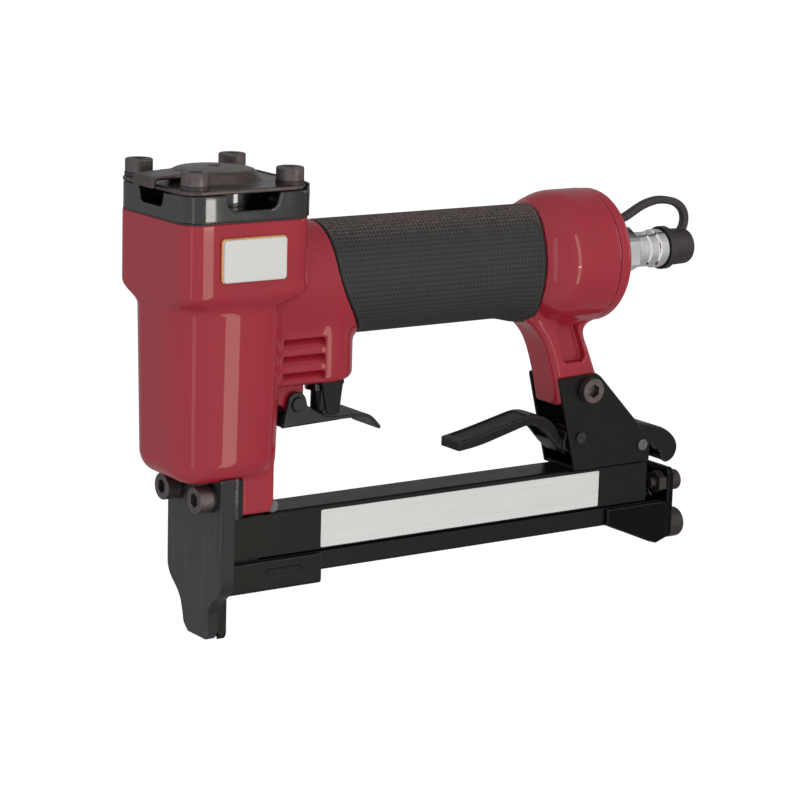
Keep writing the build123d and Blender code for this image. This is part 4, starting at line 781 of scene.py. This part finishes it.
def body(x, y, z):
    # Column with a crowned face, widening into the square head.
    rise = np.minimum(z, 108.0) - 53.4
    s = smin(smax((z - 105.7) / 4.2, 0.0, 0.35), 1.0, 0.35)
    half = 17.75 + rise * GROW
    half = half + (22.2 - half) * s
    px = x - 0.4 * s
    corner = np.where(px > 0, 10.4, 9.0 + rise * GROW)
    corner = corner + (5.0 - corner) * s
    # The sides of the column bow out; the head is flat with its margins eased back.
    bow = 1.05 - px * px / 120.0
    ease = 0.012 * np.maximum(np.abs(px) - 12.4, 0) ** 2
    side = half + bow * (1 - s) - ease * s
    front = half + np.where(px < 0, 1.9 * (1 - s), 0) - 0.25 * np.clip(np.abs(y / half), 0, 1.1) ** 3
    d = rrect(px, y, front, side, corner)
    d = rmax(d, 51.7 - z, 7.6)
    d = rmax(d, z - 132.7, 0.5)
    # Neck ahead of the grip, with the round-backed valve housing under it.
    housing = smin(np.hypot(x - 36.0, y) - 13.0, np.maximum(np.abs(y) - 12.6, x - 36.0), 0.3)
    housing = rmax(housing, 78.7 - z, 2.6)
    housing = np.maximum(np.maximum(housing, 10.0 - x), z - 106.0)
    neck = smin(ellipse(y, z - AXIS_Z, 16.1, 18.4), housing, 3.0)
    slope = (front_edge(z + 0.2) - front_edge(z - 0.2)) / 0.4
    neck = rmax(neck, (x - front_edge(z)) / np.sqrt(1 + slope * slope), 0.5)
    d = smin(d, np.maximum(neck, 6.0 - x), 2.2)
    # Core under the grip, then the shoulder and the drum.
    d = np.minimum(d, np.maximum(ellipse(y, z - AXIS_Z, 14.7, 17.0), slab(x, 30.0, 122.0)))
    t = np.clip((x - rear_edge(z)) / 12.0, 0, 1)
    swell = 1 - (1 - t) ** 2.6
    drum = ellipse(y, z - AXIS_Z, 16.1 + 6.1 * swell, 18.4 + 3.8 * swell)
    drum = np.maximum(rmax(drum, x - 141.5, 0.7), rear_edge(z) - x)
    # Leg with a pocket on each side.
    drum = smin(drum, rmax(poly(x, z, LEG), np.abs(y) - 7.3, 2.4), 4.0)
    drum = smax(drum, -rmax(poly(x, z, POCKET) - 0.6, 4.6 - np.abs(y), 0.5), 0.9)
    d = np.minimum(d, drum)
    # Foot behind the nose, hanger lip, trigger lug.
    d = smin(d, rmax(poly(x, z, FOOT), np.abs(y) - 15.4, 1.2), 1.2)
    d = np.minimum(d, rmax(poly(x, z, LIP), np.abs(y) - 5.6, 0.8))
    lug = np.minimum(poly(x, z, LUG), np.hypot(x - 26.6, z - 72.1) - 3.3)
    d = smin(d, rmax(lug, np.abs(y) - 6.2, 0.8), 1.0)
    # Louvres with sloping floors.
    for zc in (81.6, 86.9, 92.1):
        floor_y = 12.5 - 2.6 * ((z - zc) / 3.2 + 0.5)
        d = smax(d, -rmax(rrect(x - 25.6, z - zc, 7.6, 1.6, 0.5), floor_y - np.abs(y), 0.25), 0.4)
    # Cylinder bore, drive slot and valve bore.
    d = np.maximum(d, -np.maximum(np.hypot(x, y) - 15.5, 57.2 - z))
    d = np.maximum(d, -np.maximum(np.maximum(np.abs(x) - 1.2, np.abs(y) - 6.8), slab(z, 50.0, 60.0)))
    return np.maximum(d, -np.maximum(np.hypot(x - 39.0, y) - 6.1, slab(z, 70.0, 100.0)))


net("body_shell", body, (-22, -22.4, 38.7), (147.8, 22.4, 132.9), 0.58, "body_casting")

# ------------------------------------------------------------------ cap, plate and their screws
def cap(x, y, z):
    ease = 0.012 * np.maximum(np.abs(x - 0.8) - 12.4, 0) ** 2
    rim = rrect(x - 0.8, y, 22.6, 22.4 - ease, 6.1)
    block = rmax(rmax(rim, 133.1 - z, 0.35), z - 141.3, 0.7)
    lip = rmax(rmax(rim, -rrect(x - 0.8, y, 21.5, 21.3, 5.0), 0.3), slab(z, 138.0, 142.9), 0.4)
    d = smin(block, np.maximum(lip, 19.6 - x + 1.2 * step((z - 141.5) / 1.4)), 0.3)
    reach = np.hypot(x, y)
    front = rrect(y, z - 142.0, 6.4 + 0.25 * (z - 136.6), 5.4, 1.4)
    sides = rrect(x - 0.4 - 0.04 * (z - 136.4), z - 142.0, 8.1 + 0.25 * (z - 136.4), 5.6, 2.0)
    window = np.minimum(np.maximum(front, x + 10.0), sides)
    d = smax(d, -np.maximum(window, 14.6 - reach), 0.7)
    d = np.maximum(d, -np.maximum(reach - 13.2, z - 139.2))
    return np.maximum(d, -np.maximum(reach - 5.0, 133.0 - z))


net("cap_block", cap, (-22, -22.6, 133.0), (23.6, 22.6, 143.0), 0.4, "cylinder_cap")

DOME = np.array([(0, 147.02), (2, 147.0), (7, 146.78), (11.2, 146.42), (12.2, 146.1), (12.9, 145.5), (14.5, 143.4), (15.3, 142.95), (16.6, 142.75), (18.2, 142.7), (40, 142.7)])
TONGUE = [(-9.5, 146.1), (-23.1, 145.4), (-23.9, 145.15), (-24.4, 144.6), (-24.5, 143.9), (-24.5, 142.0), (-23.3, 142.0), (-23.3, 143.8), (-22.9, 144.2), (-9.5, 144.8)]


def plate(x, y, z):
    flat = rmax(rrect(x, y, 21.7, 21.8, 6.0), slab(z, 141.32, 142.7), 0.5)
    r = np.hypot(x, y)
    height = np.interp(r, DOME[:, 0], DOME[:, 1])
    dome = np.maximum(np.maximum((z - height) * 0.75, r - 18.2), 141.4 - z)
    d = np.minimum(flat, dome)
    d = smin(d, rmax(poly(x, z, TONGUE), np.abs(y) - 6.2, 0.45), 0.8)
    return smax(d, -np.maximum(r - 1.9, 145.2 - z), 0.35)


net("vent_plate", plate, (-24.6, -21.9, 141.2), (21.8, 21.9, 147.1), 0.34, "exhaust_plate")

shell = Shell()
for sx in (-16.4, 16.4):
    for sy in (-16.9, 16.9):
        socket_head(shell, (sx, sy, 0), (0, 0, 1), 120.0, 143.95, 148.0, 4.25, 2.45, 2.31, 2.4)
shell.place("cap_bolts", "cap_screws")

# ------------------------------------------------------------------ grip
def grip():
    rows, middle = 280, 237
    front = [(0.0, -1.3), (0.0, -0.42), (0.1, -0.18), (0.3, -0.05), (0.62, 0.0), (0.95, -0.03), (1.2, -0.12)]
    rear = [(1.2, -0.12), (0.95, -0.03), (0.6, 0.0), (0.3, -0.05), (0.1, -0.18), (0.0, -0.42), (0.0, -1.3)]
    points = []
    for i in range(rows):
        a = 2 * math.pi * (i + 0.5) / rows
        c, s = math.cos(a), math.sin(a)
        z0 = AXIS_Z + 18.4 * s
        x0, x1 = front_edge(z0) + 0.2, rear_edge(z0) - 0.3
        line = [(x0 + dx, dr) for dx, dr in front]
        # Rows of short raised dashes.
        for k in range(middle):
            x = x0 + 1.45 + (x1 - x0 - 2.9) * k / (middle - 1)
            line.append((x, -0.22 if i % 4 == 0 or k % 4 == 0 else 0.0))
        line += [(x1 - dx, dr) for dx, dr in rear]
        # The lower rear corner flares out over the root of the leg.
        down = max(0.0, -s) ** 1.6
        n = np.array((c / 16.1, s / 18.4))
        n /= np.linalg.norm(n)
        for x, dr in line:
            f = min(max((x - 103.0) / 13.0, 0.0), 1.0)
            flare = 2.1 * down * f * f * (3 - 2 * f)
            points.append((x, 16.1 * c + n[0] * dr, z0 - flare + n[1] * dr))
    cols = len(front) + middle + len(rear)
    i, k = np.meshgrid(np.arange(rows), np.arange(cols - 1), indexing="ij")
    j = (i + 1) % rows
    quads = np.stack((i * cols + k, j * cols + k, j * cols + k + 1, i * cols + k + 1), -1).reshape(-1, 4)
    return quad_mesh("grip_sleeve", np.array(points), quads[:, ::-1])


place("grip_sleeve", grip(), "handle_grip")

# ------------------------------------------------------------------ trigger, lever
FINGER = outline([(21.2, 65.0), (42.0, 65.7)], curve([(50.0, 65.7), (52.8, 65.2), (55.3, 63.3), (57.4, 61.0)], 10),
                 curve([(58.1, 61.8), (56.0, 64.2), (53.4, 66.2), (50.0, 66.85)], 10), [(42.0, 66.85), (21.3, 66.1)])
CHEEK = outline([(21.2, 65.1), (23.4, 74.2), (24.2, 75.2), (25.4, 75.85), (26.6, 76.0), (27.8, 75.7), (28.9, 74.9), (29.6, 73.8), (30.2, 71.4), (33.0, 69.6)],
                [(36.8, 67.5), (42.0, 66.5), (42.0, 65.8)])


def trigger(x, y, z):
    a = np.abs(y)
    d = rmax(poly(x, z, FINGER), a - 8.0, 0.42)
    cheek = rmax(poly(x, z, CHEEK), slab(a, 6.9, 8.0), 0.4)
    d = smin(d, cheek, 0.5)
    return np.maximum(d, 2.33 - np.hypot(x - 26.6, z - 72.1))


net("trigger_blade", trigger, (21.0, -8.1, 60.9), (58.2, 8.1, 76.1), 0.3, "trigger")

shell = Shell()
prism(shell, [(34.2, 78.7), (42.4, 78.7), (41.9, 76.0), (40.9, 67.9), (36.4, 67.9), (34.7, 76.0)], -9.7, -8.6, "xz", bevel=0.35, corner=[0.4, 0.4, 0.5, 1.6, 1.6, 0.5], seg=4)
prism(shell, [(34.2, -8.9), (43.0, -8.9), (43.0, -4.5), (34.2, -4.5)], 77.4, 78.7, "xy", bevel=0.15, corner=0.3)
shell.place("guide_cheek", "trigger_guide")

LEVER_TOP = curve([(90.6, 52.6), (98.7, 54.1), (106.7, 55.9), (114.8, 57.8), (119.9, 58.6), (125.1, 57.4), (130.0, 53.5), (133.2, 48.6), (136.6, 45.8)], 48)
LEVER = outline(LEVER_TOP, [(136.6, 43.9)],
                curve([(133.8, 44.0), (130.2, 47.2), (126.7, 51.0), (123.2, 53.9), (118.6, 55.1), (114.9, 54.4), (106.9, 52.3), (98.9, 50.4), (90.6, 49.3)], 40))
LEVER_IN = [(93.0, 51.5), (98.7, 52.7), (106.7, 54.5), (114.8, 56.4), (119.6, 57.2), (123.8, 56.1), (127.4, 53.0), (129.5, 50.2),
            (127.0, 48.0), (122.0, 50.5), (106.0, 46.0), (93.0, 46.0)]
HOOK = outline([(132.4, 48.0), (133.6, 51.6), (139.0, 54.2)],
               curve([(152.0, 54.0), (164.2, 51.7), (171.5, 50.1), (176.4, 48.2), (179.8, 45.6), (181.8, 42.0), (181.2, 38.9), (179.1, 36.9), (177.2, 36.4)], 30),
               [(175.4, 37.4), (174.8, 40.0), (171.8, 41.4), (168.6, 46.2), (164.5, 47.4), (152.0, 47.0), (141.0, 45.2), (136.0, 43.9), (132.4, 46.0)])
HOOK_IN = [(136.6, 30.0), (136.6, 52.0), (139.6, 52.9), (152.0, 52.7), (164.0, 50.4), (171.1, 48.8), (175.6, 47.0), (178.7, 44.8), (180.5, 42.0),
           (180.0, 39.6), (178.3, 37.9), (177.4, 36.0), (177.4, 30.0)]


def lever(x, y, z):
    a = np.abs(y)
    arm = rmax(poly(x, z, LEVER), a - 5.4, 0.8)
    arm = smax(arm, -np.maximum(poly(x, z, LEVER_IN), a - 4.2), 0.3)
    # Shallow panel pressed into the finger side.
    top = np.interp(x, LEVER_TOP[:34, 0], LEVER_TOP[:34, 1])
    arm = smax(arm, -rmax(rmax(top - 0.5 - z, a - 4.2, 0.3), slab(x, 93.4, 118.5), 0.5), 0.5)
    hook = rmax(poly(x, z, HOOK), a - 6.6, 0.55)
    hook = smax(hook, -np.maximum(poly(x, z, HOOK_IN), a - 5.3), 0.3)
    d = smin(arm, hook, 0.5)
    pin = np.hypot(x - 137.9, z - 49.7)
    d = np.maximum(d, 2.08 - pin)
    d = np.maximum(d, -np.maximum(pin - 3.6, a - 5.0))
    return smax(d, -np.maximum(np.maximum(slab(x, 171.7, 174.0), slab(z, 39.4, 41.6)), y + 5.0), 0.3)


net("latch_arm", lever, (90.4, -6.7, 36.2), (182.0, 6.7, 58.8), 0.34, "latch_lever")

# ------------------------------------------------------------------ nose
def nose_outline():
    half = outline([(5.4, 0.0), (7.6, 2.4), (7.8, 6.0)], curve([(8.2, 9.4), (9.8, 12.2), (13.6, 15.4), (16.0, 18.6), (16.5, 23.0)], 18), [(16.5, 53.2)])
    return half + [(-u, v) for u, v in reversed(half)]


NOSE = nose_outline()


def nose(x, y, z):
    d = rmax(rmax(poly(y, z, NOSE), -5.5 - x, 0.5), x + 0.65, 0.08)
    ground = -5.5 + 1.3 * (11.5 - z) / 11.5 - x
    return smax(d, ground * 0.99, 0.35)


net("nose_plate", nose, (-5.6, -16.6, -0.1), (-0.6, 16.6, 53.3), 0.42, "nose_front_plate")

shell = Shell()
for sy in (-10.0, 10.0):
    socket_head(shell, (0, sy, 46.5), (-1, 0, 0), -12.0, 6.6, 11.6, 4.25, 2.45, 2.31, 2.6)
shell.place("nose_bolts", "nose_screws")


# ------------------------------------------------------------------ magazine
def guide(x, y, z):
    a = np.abs(y)
    outer = rrect(y, z - 21.5, 8.6, 8.0, 1.2)
    section = rmax(np.maximum(outer, z - 23.3), -np.maximum(a - 7.4, 14.7 - z), 0.3)
    d = rmax(section, slab(x, 2.1, 36.3), 0.4)
    oblong = rrect(x - 22.4, z - 19.5, 6.7, 1.2, 1.2)
    return smax(d, -np.maximum(oblong, 8.28 - a), 0.3)


net("guide_shoe", guide, (2.0, -8.7, 13.4), (36.4, 8.7, 23.4), 0.36, "front_guide")

CHANNEL = [(-7.3, 24.3), (-6.5, 24.3), (-6.5, 37.7), (6.5, 37.7), (6.5, 24.3), (7.3, 24.3), (7.3, 38.5), (-7.3, 38.5)]
shell = Shell()
prism(shell, CHANNEL, 2.1, 168.0, "yz", bevel=0.15, corner=[0.2, 0.2, 0.5, 0.5, 0.2, 0.2, 1.3, 1.3], seg=4)
shell.place("folded_channel", "magazine_channel")

SLIDE = [(-7.1, 17.3), (7.1, 17.3), (7.1, 23.6), (6.5, 23.6), (6.5, 18.0), (-6.5, 18.0), (-6.5, 23.6), (-7.1, 23.6)]
shell = Shell()
prism(shell, SLIDE, 4.0, 176.5, "yz", bevel=0.12, corner=[0.9, 0.9, 0.12, 0.12, 0.3, 0.3, 0.12, 0.12], seg=4)
shell.place("folded_slide", "slide_rail")

shell = Shell()
prism(shell, [(36.4, 24.85), (147.4, 24.85), (147.4, 37.05), (36.4, 37.05)], -7.55, -7.3, "xz", bevel=0.12, corner=0.5)
shell.place("side_plate", "magazine_label")

GUSSET = [(151.0, 23.2), (151.0, 17.6), (169.8, 9.7), (172.8, 8.8), (176.9, 10.2), (176.9, 23.2)]


def end_bracket(x, y, z):
    d = rmax(rrect(y, z - 22.4, 9.0, 12.4, 2.2), slab(x, 176.5, 179.3), 0.8)
    side = rmax(poly(x, z, GUSSET), slab(np.abs(y), 7.1, 8.6), 0.45)
    return smin(d, side, 0.7)


net("end_bracket", end_bracket, (150.9, -9.1, 8.7), (179.4, 9.1, 34.9), 0.34, "slide_end_bracket")

shell = Shell()
for sy in (-5.0, 5.0):
    socket_head(shell, (0, sy, 29.6), (1, 0, 0), 171.0, 179.3, 182.9, 3.5, 1.98, 1.73, 2.0)
shell.place("end_bolts", "slide_end_screws")

shell = Shell()
for sy in (-5.0, 5.0):
    hexagon = [(sy + 4.04 * math.cos(math.radians(30 + 60 * k)), 29.6 + 4.04 * math.sin(math.radians(30 + 60 * k))) for k in range(6)]
    prism(shell, hexagon, 173.3, 176.5, "yz", bevel=0.4, corner=0.3)
shell.place("end_nuts", "slide_end_nuts")

shell = Shell()
lathe(shell, [(175.0, 0), (175.0, 3.4), (176.5, 3.4), (176.5, 2.0), (179.3, 2.0), (179.3, 5.15), (188.3, 5.15), (188.3, 0)], (0, 0, 12.9), (1, 0, 0), 64,
      corner=[0, 0.2, 0.2, 0, 0, 0.4, 1.2, 0], seg=4)
shell.place("pull_knob", "slide_knob")

# ------------------------------------------------------------------ rear bracket
BRACKET = [(127.9, 70.4), (143.8, 71.1), (145.7, 69.8), (162.4, 52.3), (168.0, 45.4), (168.0, 38.5), (136.0, 38.5)]
shell = Shell()
prism(shell, BRACKET, -8.6, -7.4, "xz", bevel=0.4, corner=[0.9, 1.2, 1.2, 1.2, 0.9, 0.8, 0.8])
prism(shell, BRACKET, 7.4, 8.6, "xz", bevel=0.4, corner=[0.9, 1.2, 1.2, 1.2, 0.9, 0.8, 0.8])
prism(shell, [(136.2, -7.6), (168.0, -7.6), (168.0, 7.6), (136.2, 7.6)], 38.5, 39.7, "xy", bevel=0.3, corner=0.4)
shell.place("bracket_plates", "rear_bracket")

shell = Shell()
socket_head(shell, (140.7, 0, 65.8), (0, -1, 0), -13.6, 8.6, 11.6, 4.25, 2.45, 2.31, 2.2)
shell.place("bracket_bolt", "bracket_screw")

shell = Shell()
hexagon = [(140.7 + 4.62 * math.cos(math.radians(60 * k)), 65.8 + 4.62 * math.sin(math.radians(60 * k))) for k in range(6)]
prism(shell, hexagon, 8.6, 12.6, "xz", bevel=0.45, corner=0.35)
shell.place("bracket_hex_nut", "bracket_nut")

for name, node, x, z, r, half in (("latch_pivot", "latch_pin", 137.9, 49.7, 2.0, 9.4), ("latch_stop", "latch_stop_pin", 164.5, 44.5, 2.0, 9.4),
                                  ("trigger_pivot", "trigger_pin", 26.6, 72.1, 2.25, 8.7)):
    shell = Shell()
    lathe(shell, [(-half, 0), (-half, r), (half, r), (half, 0)], (x, 0, z), (0, 1, 0), 40, corner=0.4, seg=4)
    shell.place(name, node)

shell = Shell()
lathe(shell, [(-9.0, 0), (-9.0, 2.1), (-7.2, 2.1), (-7.2, 1.5), (7.2, 1.5), (7.2, 2.1), (9.0, 2.1), (9.0, 0)], (17.7, 0, 40.85), (0, 1, 0), 40,
      corner=[0, 0.5, 0.2, 0, 0, 0.2, 0.5, 0], seg=4)
shell.place("hanger_rod", "hanger_pin")

# ------------------------------------------------------------------ rear end
shell = Shell()
lathe(shell, [(135.45, 6.5), (135.45, 18.3), (141.65, 18.3), (141.65, 22.0), (146.6, 22.0), (146.6, 6.5)], (0, 0, AXIS_Z), (1, 0, 0), 120,
      corner=[0, 0.2, 0, 0.35, 4.2, 0], seg=8)
shell.place("rear_cover", "end_cap")

shell = Shell()
lathe(shell, [(136.5, 2.4), (136.5, 6.4), (151.3, 6.4)], (0, 0, AXIS_Z), (1, 0, 0), 64, corner=0.2)
hexagon = [(8.083 * math.cos(math.radians(90 + 60 * k)), AXIS_Z + 8.083 * math.sin(math.radians(90 + 60 * k))) for k in range(6)]
prism(shell, hexagon, 151.0, 162.0, "yz", bevel=0.7, corner=0.5, seg=4)
lathe(shell, [(161.6, 5.9), (166.4, 5.9), (166.9, 5.5), (167.4, 5.9), (170.5, 5.9), (171.0, 6.5), (175.4, 6.5), (175.4, 4.2), (176.6, 4.2), (177.2, 3.3),
              (179.2, 3.3), (179.9, 4.2), (182.6, 4.2), (183.6, 3.4), (183.6, 2.4), (160.0, 2.4)], (0, 0, AXIS_Z), (1, 0, 0), 72,
      corner=[0, 0.1, 0, 0.1, 0.15, 0.3, 0.5, 0.1, 0.2, 0.2, 0.2, 0.2, 0.2, 0.2, 0.1, 0], seg=3)
shell.place("plug", "air_plug")

shell = Shell()
lathe(shell, [(146.8, 6.6), (146.8, 9.6), (149.8, 9.6), (149.8, 6.6), (146.8, 6.6)], (0, 0, AXIS_Z), (1, 0, 0), 72, corner=[0, 0.7, 0.7, 0.3, 0])
prism(shell, [(-2.5, 117.0), (2.5, 117.0), (2.5, 121.2), (-2.5, 121.2)], 146.8, 149.8, "yz", bevel=0.5, corner=0.8)
shell.place("tether_collar", "tether_ring")

shell = Shell()
lathe(shell, [(175.8, 4.55), (175.8, 6.8), (174.8, 6.8), (174.8, 7.3), (177.1, 7.3), (177.9, 6.25), (186.4, 6.0), (186.4, 0)], (0, 0, AXIS_Z), (1, 0, 0), 72,
      corner=[0, 0.1, 0.1, 0.2, 0.5, 0.5, 1.5, 0], seg=5)
shell.place("dust_cup", "dust_cap")


def strap():
    path = curve([(149.6, 119.6), (153.5, 119.9), (157.0, 120.6), (160.5, 121.9), (164.2, 123.8), (167.4, 125.2), (170.3, 126.0), (173.2, 126.4), (175.8, 126.3), (178.5, 125.9),
                  (180.8, 125.2), (183.1, 123.8), (184.6, 122.0), (185.3, 119.8), (185.2, 117.9), (184.6, 116.2), (183.6, 114.8)], 90)
    along = np.gradient(path, axis=0)
    along /= np.linalg.norm(along, axis=1)[:, None]
    P, N, _ = rounded([(-1.4, -1.3), (1.4, -1.3), (1.4, 1.3), (-1.4, 1.3)], 0.7, 4)
    points, normals, faces, n = [], [], [], len(P)
    for (x, z), (tx, tz) in zip(path, along):
        out = np.array((-tz, 0, tx))
        for (u, v), (nu, nv) in zip(P, N):
            points.append(np.array((x, u, z)) + v * out)
            normals.append(nu * np.array((0, 1, 0)) + nv * out)
    for k in range(len(path) - 1):
        faces += [(k * n + i, k * n + (i + 1) % n, (k + 1) * n + (i + 1) % n, (k + 1) * n + i) for i in range(n)]
    s = Shell()
    s.add(points, normals, faces)
    for at, way in ((0, -1), (len(path) - 1, 1)):
        ring = points[at * n:(at + 1) * n]
        s.add(ring, [way * np.array((along[at][0], 0, along[at][1]))] * n, [tuple(range(n))])
    mesh = bpy.data.meshes.new("tether")
    mesh.from_pydata(np.concatenate(s.points) * MM, [], s.faces)
    mesh.polygons.foreach_set("use_smooth", np.ones(len(s.faces), dtype=bool))
    mesh.materials.append(rubber_cap)
    obj = bpy.data.objects.new("tether", mesh)
    scene.collection.objects.link(obj)
    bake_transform(obj)
    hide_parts("tether_strap")


strap()

# ------------------------------------------------------------------ badge
shell = Shell()
prism(shell, [(-10.5, 115.0), (12.1, 115.0), (12.1, 128.5), (-10.5, 128.5)], -22.9, -21.9, "xz", bevel=0.3, corner=1.3, seg=4)
shell.place("badge_frame", "badge_bezel")
shell = Shell()
prism(shell, [(-9.8, 115.1), (12.1, 115.1), (12.1, 128.0), (-9.8, 128.0)], -23.3, -22.5, "xz", bevel=0.55, corner=1.1, seg=5)
shell.place("badge_face", "badge_plate")

# ------------------------------------------------------------------ springs
def coil(name, node, origin, axis, pitch, height, radius, wire):
    """A coil spring wound about an axis, with both ends capped."""
    axis = np.array(axis, float)
    e1 = np.cross((0, 1.0, 0), axis)
    e2 = np.cross(axis, e1)
    count = int(height / pitch * 22)
    rings, normals, faces, n = [], [], [], 10
    for k in range(count + 1):
        a = 2 * math.pi * height / pitch * k / count
        radial = math.cos(a) * e1 + math.sin(a) * e2
        along = radius * 2 * math.pi * (math.cos(a) * e2 - math.sin(a) * e1) + pitch * axis
        along /= np.linalg.norm(along)
        other = np.cross(along, radial)
        centre = np.array(origin, float) + axis * height * k / count + radius * radial
        for j in range(n):
            b = 2 * math.pi * j / n
            normal = math.cos(b) * radial + math.sin(b) * other
            rings.append(centre + wire * normal)
            normals.append(normal)
    for k in range(count):
        faces += [(k * n + j, k * n + (j + 1) % n, (k + 1) * n + (j + 1) % n, (k + 1) * n + j) for j in range(n)]
    shell = Shell()
    shell.add(rings, normals, faces)
    for at, way in ((0, -1.0), (count, 1.0)):
        ring = np.array(rings[at * n:(at + 1) * n])
        flat = np.cross(ring[0] - ring[3], ring[6] - ring[3])
        flat *= way * np.sign(flat @ e2 * math.cos(2 * math.pi * height / pitch * at / count) - flat @ e1 * math.sin(2 * math.pi * height / pitch * at / count))
        shell.add(ring, np.repeat(flat[None] / np.linalg.norm(flat), n, 0), [tuple(range(n))])
    obj = shell.place(name, node)
    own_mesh(obj)


coil("pusher_coil", "pusher_spring", (13.75, 0, 24.5), (1, 0, 0), 5.4, 161.5, 2.45, 0.35)
coil("valve_coil", "valve_spring", (39.0, 0, 89.85), (0, 0, 1), 1.25, 3.7, 2.7, 0.3)
coil("head_coil", "head_valve_spring", (0, 0, 130.7), (0, 0, 1), 2.6, 7.4, 10.9, 0.6)

# ------------------------------------------------------------------ stage
floor_mesh = bpy.data.meshes.new("floor")
floor_mesh.from_pydata([(x, y, z) for z in (0, 5) for x, y in ((-5, -5), (5, -5), (5, 5), (-5, 5))], [],
                       [(0, 1, 2, 3)] + [(k, k + 4, (k + 1) % 4 + 4, (k + 1) % 4) for k in range(4)])
floor = bpy.data.objects.new("floor", floor_mesh)
scene.collection.objects.link(floor)
look = Look("floor_pale", roughness=0.95)
look.color(look.mix(look.ramp(look.noise(3.0, 2.0), 0.3, 0.7), (0.05, 0.05, 0.05), (0.06, 0.06, 0.06)))
look.set(Emission_Color=(1, 1, 1, 1), Emission_Strength=1.0)
floor_mesh.materials.append(look.mat)
floor.visible_diffuse = False
floor.visible_glossy = False
floor.visible_shadow = False

# Soft surroundings: brightest in front of the tool, darker behind it.
world = bpy.data.worlds.new("world")
scene.world = world
world.use_nodes = True
tree = world.node_tree
background = tree.nodes["Background"]
coord = tree.nodes.new("ShaderNodeTexCoord")


def toward(vector, lo, hi, out_lo, out_hi):
    d = tree.nodes.new("ShaderNodeVectorMath")
    d.operation = "DOT_PRODUCT"
    d.inputs[1].default_value = vector
    tree.links.new(coord.outputs["Generated"], d.inputs[0])
    r = tree.nodes.new("ShaderNodeMapRange")
    r.interpolation_type = "SMOOTHSTEP"
    for key, value in (("From Min", lo), ("From Max", hi), ("To Min", out_lo), ("To Max", out_hi)):
        r.inputs[key].default_value = value
    tree.links.new(d.outputs["Value"], r.inputs["Value"])
    return r.outputs["Result"]


light = toward((-0.74, -0.64, 0.2), -0.5, 0.5, 0.34, 0.81)
tree.links.new(light, background.inputs["Strength"])
background.inputs["Color"].default_value = (1, 1, 1, 1)


def area(name, azimuth, elevation, distance, width, height, power, target=(0.06, 0, 0.08)):
    data = bpy.data.lights.new(name, "AREA")
    data.shape = "RECTANGLE"
    data.size = width
    data.size_y = height
    data.energy = power
    obj = bpy.data.objects.new(name, data)
    scene.collection.objects.link(obj)
    a, e = math.radians(azimuth), math.radians(elevation)
    target = Vector(target)
    z = Vector((math.cos(a) * math.cos(e), math.sin(a) * math.cos(e), math.sin(e)))
    x = Vector((0, 0, 1)).cross(z).normalized()
    y = z.cross(x)
    at = target + z * distance
    obj.matrix_world = Matrix(((x.x, y.x, z.x, at.x), (x.y, y.y, z.y, at.y), (x.z, y.z, z.z, at.z), (0, 0, 0, 1)))
    return obj


area("strip_side", -67, 5, 1.5, 0.26, 2.4, 5.6, (-0.005, -0.02, 0.09)).data.color = (1.0, 0.91, 0.7)
area("card_rear", -22, 14, 1.5, 0.6, 1.0, 3.2, (0.15, -0.02, 0.11))
area("card_cap", -67, -8.5, 1.5, 0.26, 0.026, 0.42, (-0.012, -0.022, 0.138))
area("strip_front", -141, 5, 1.5, 0.24, 2.2, 1.6, (-0.02, -0.02, 0.12))
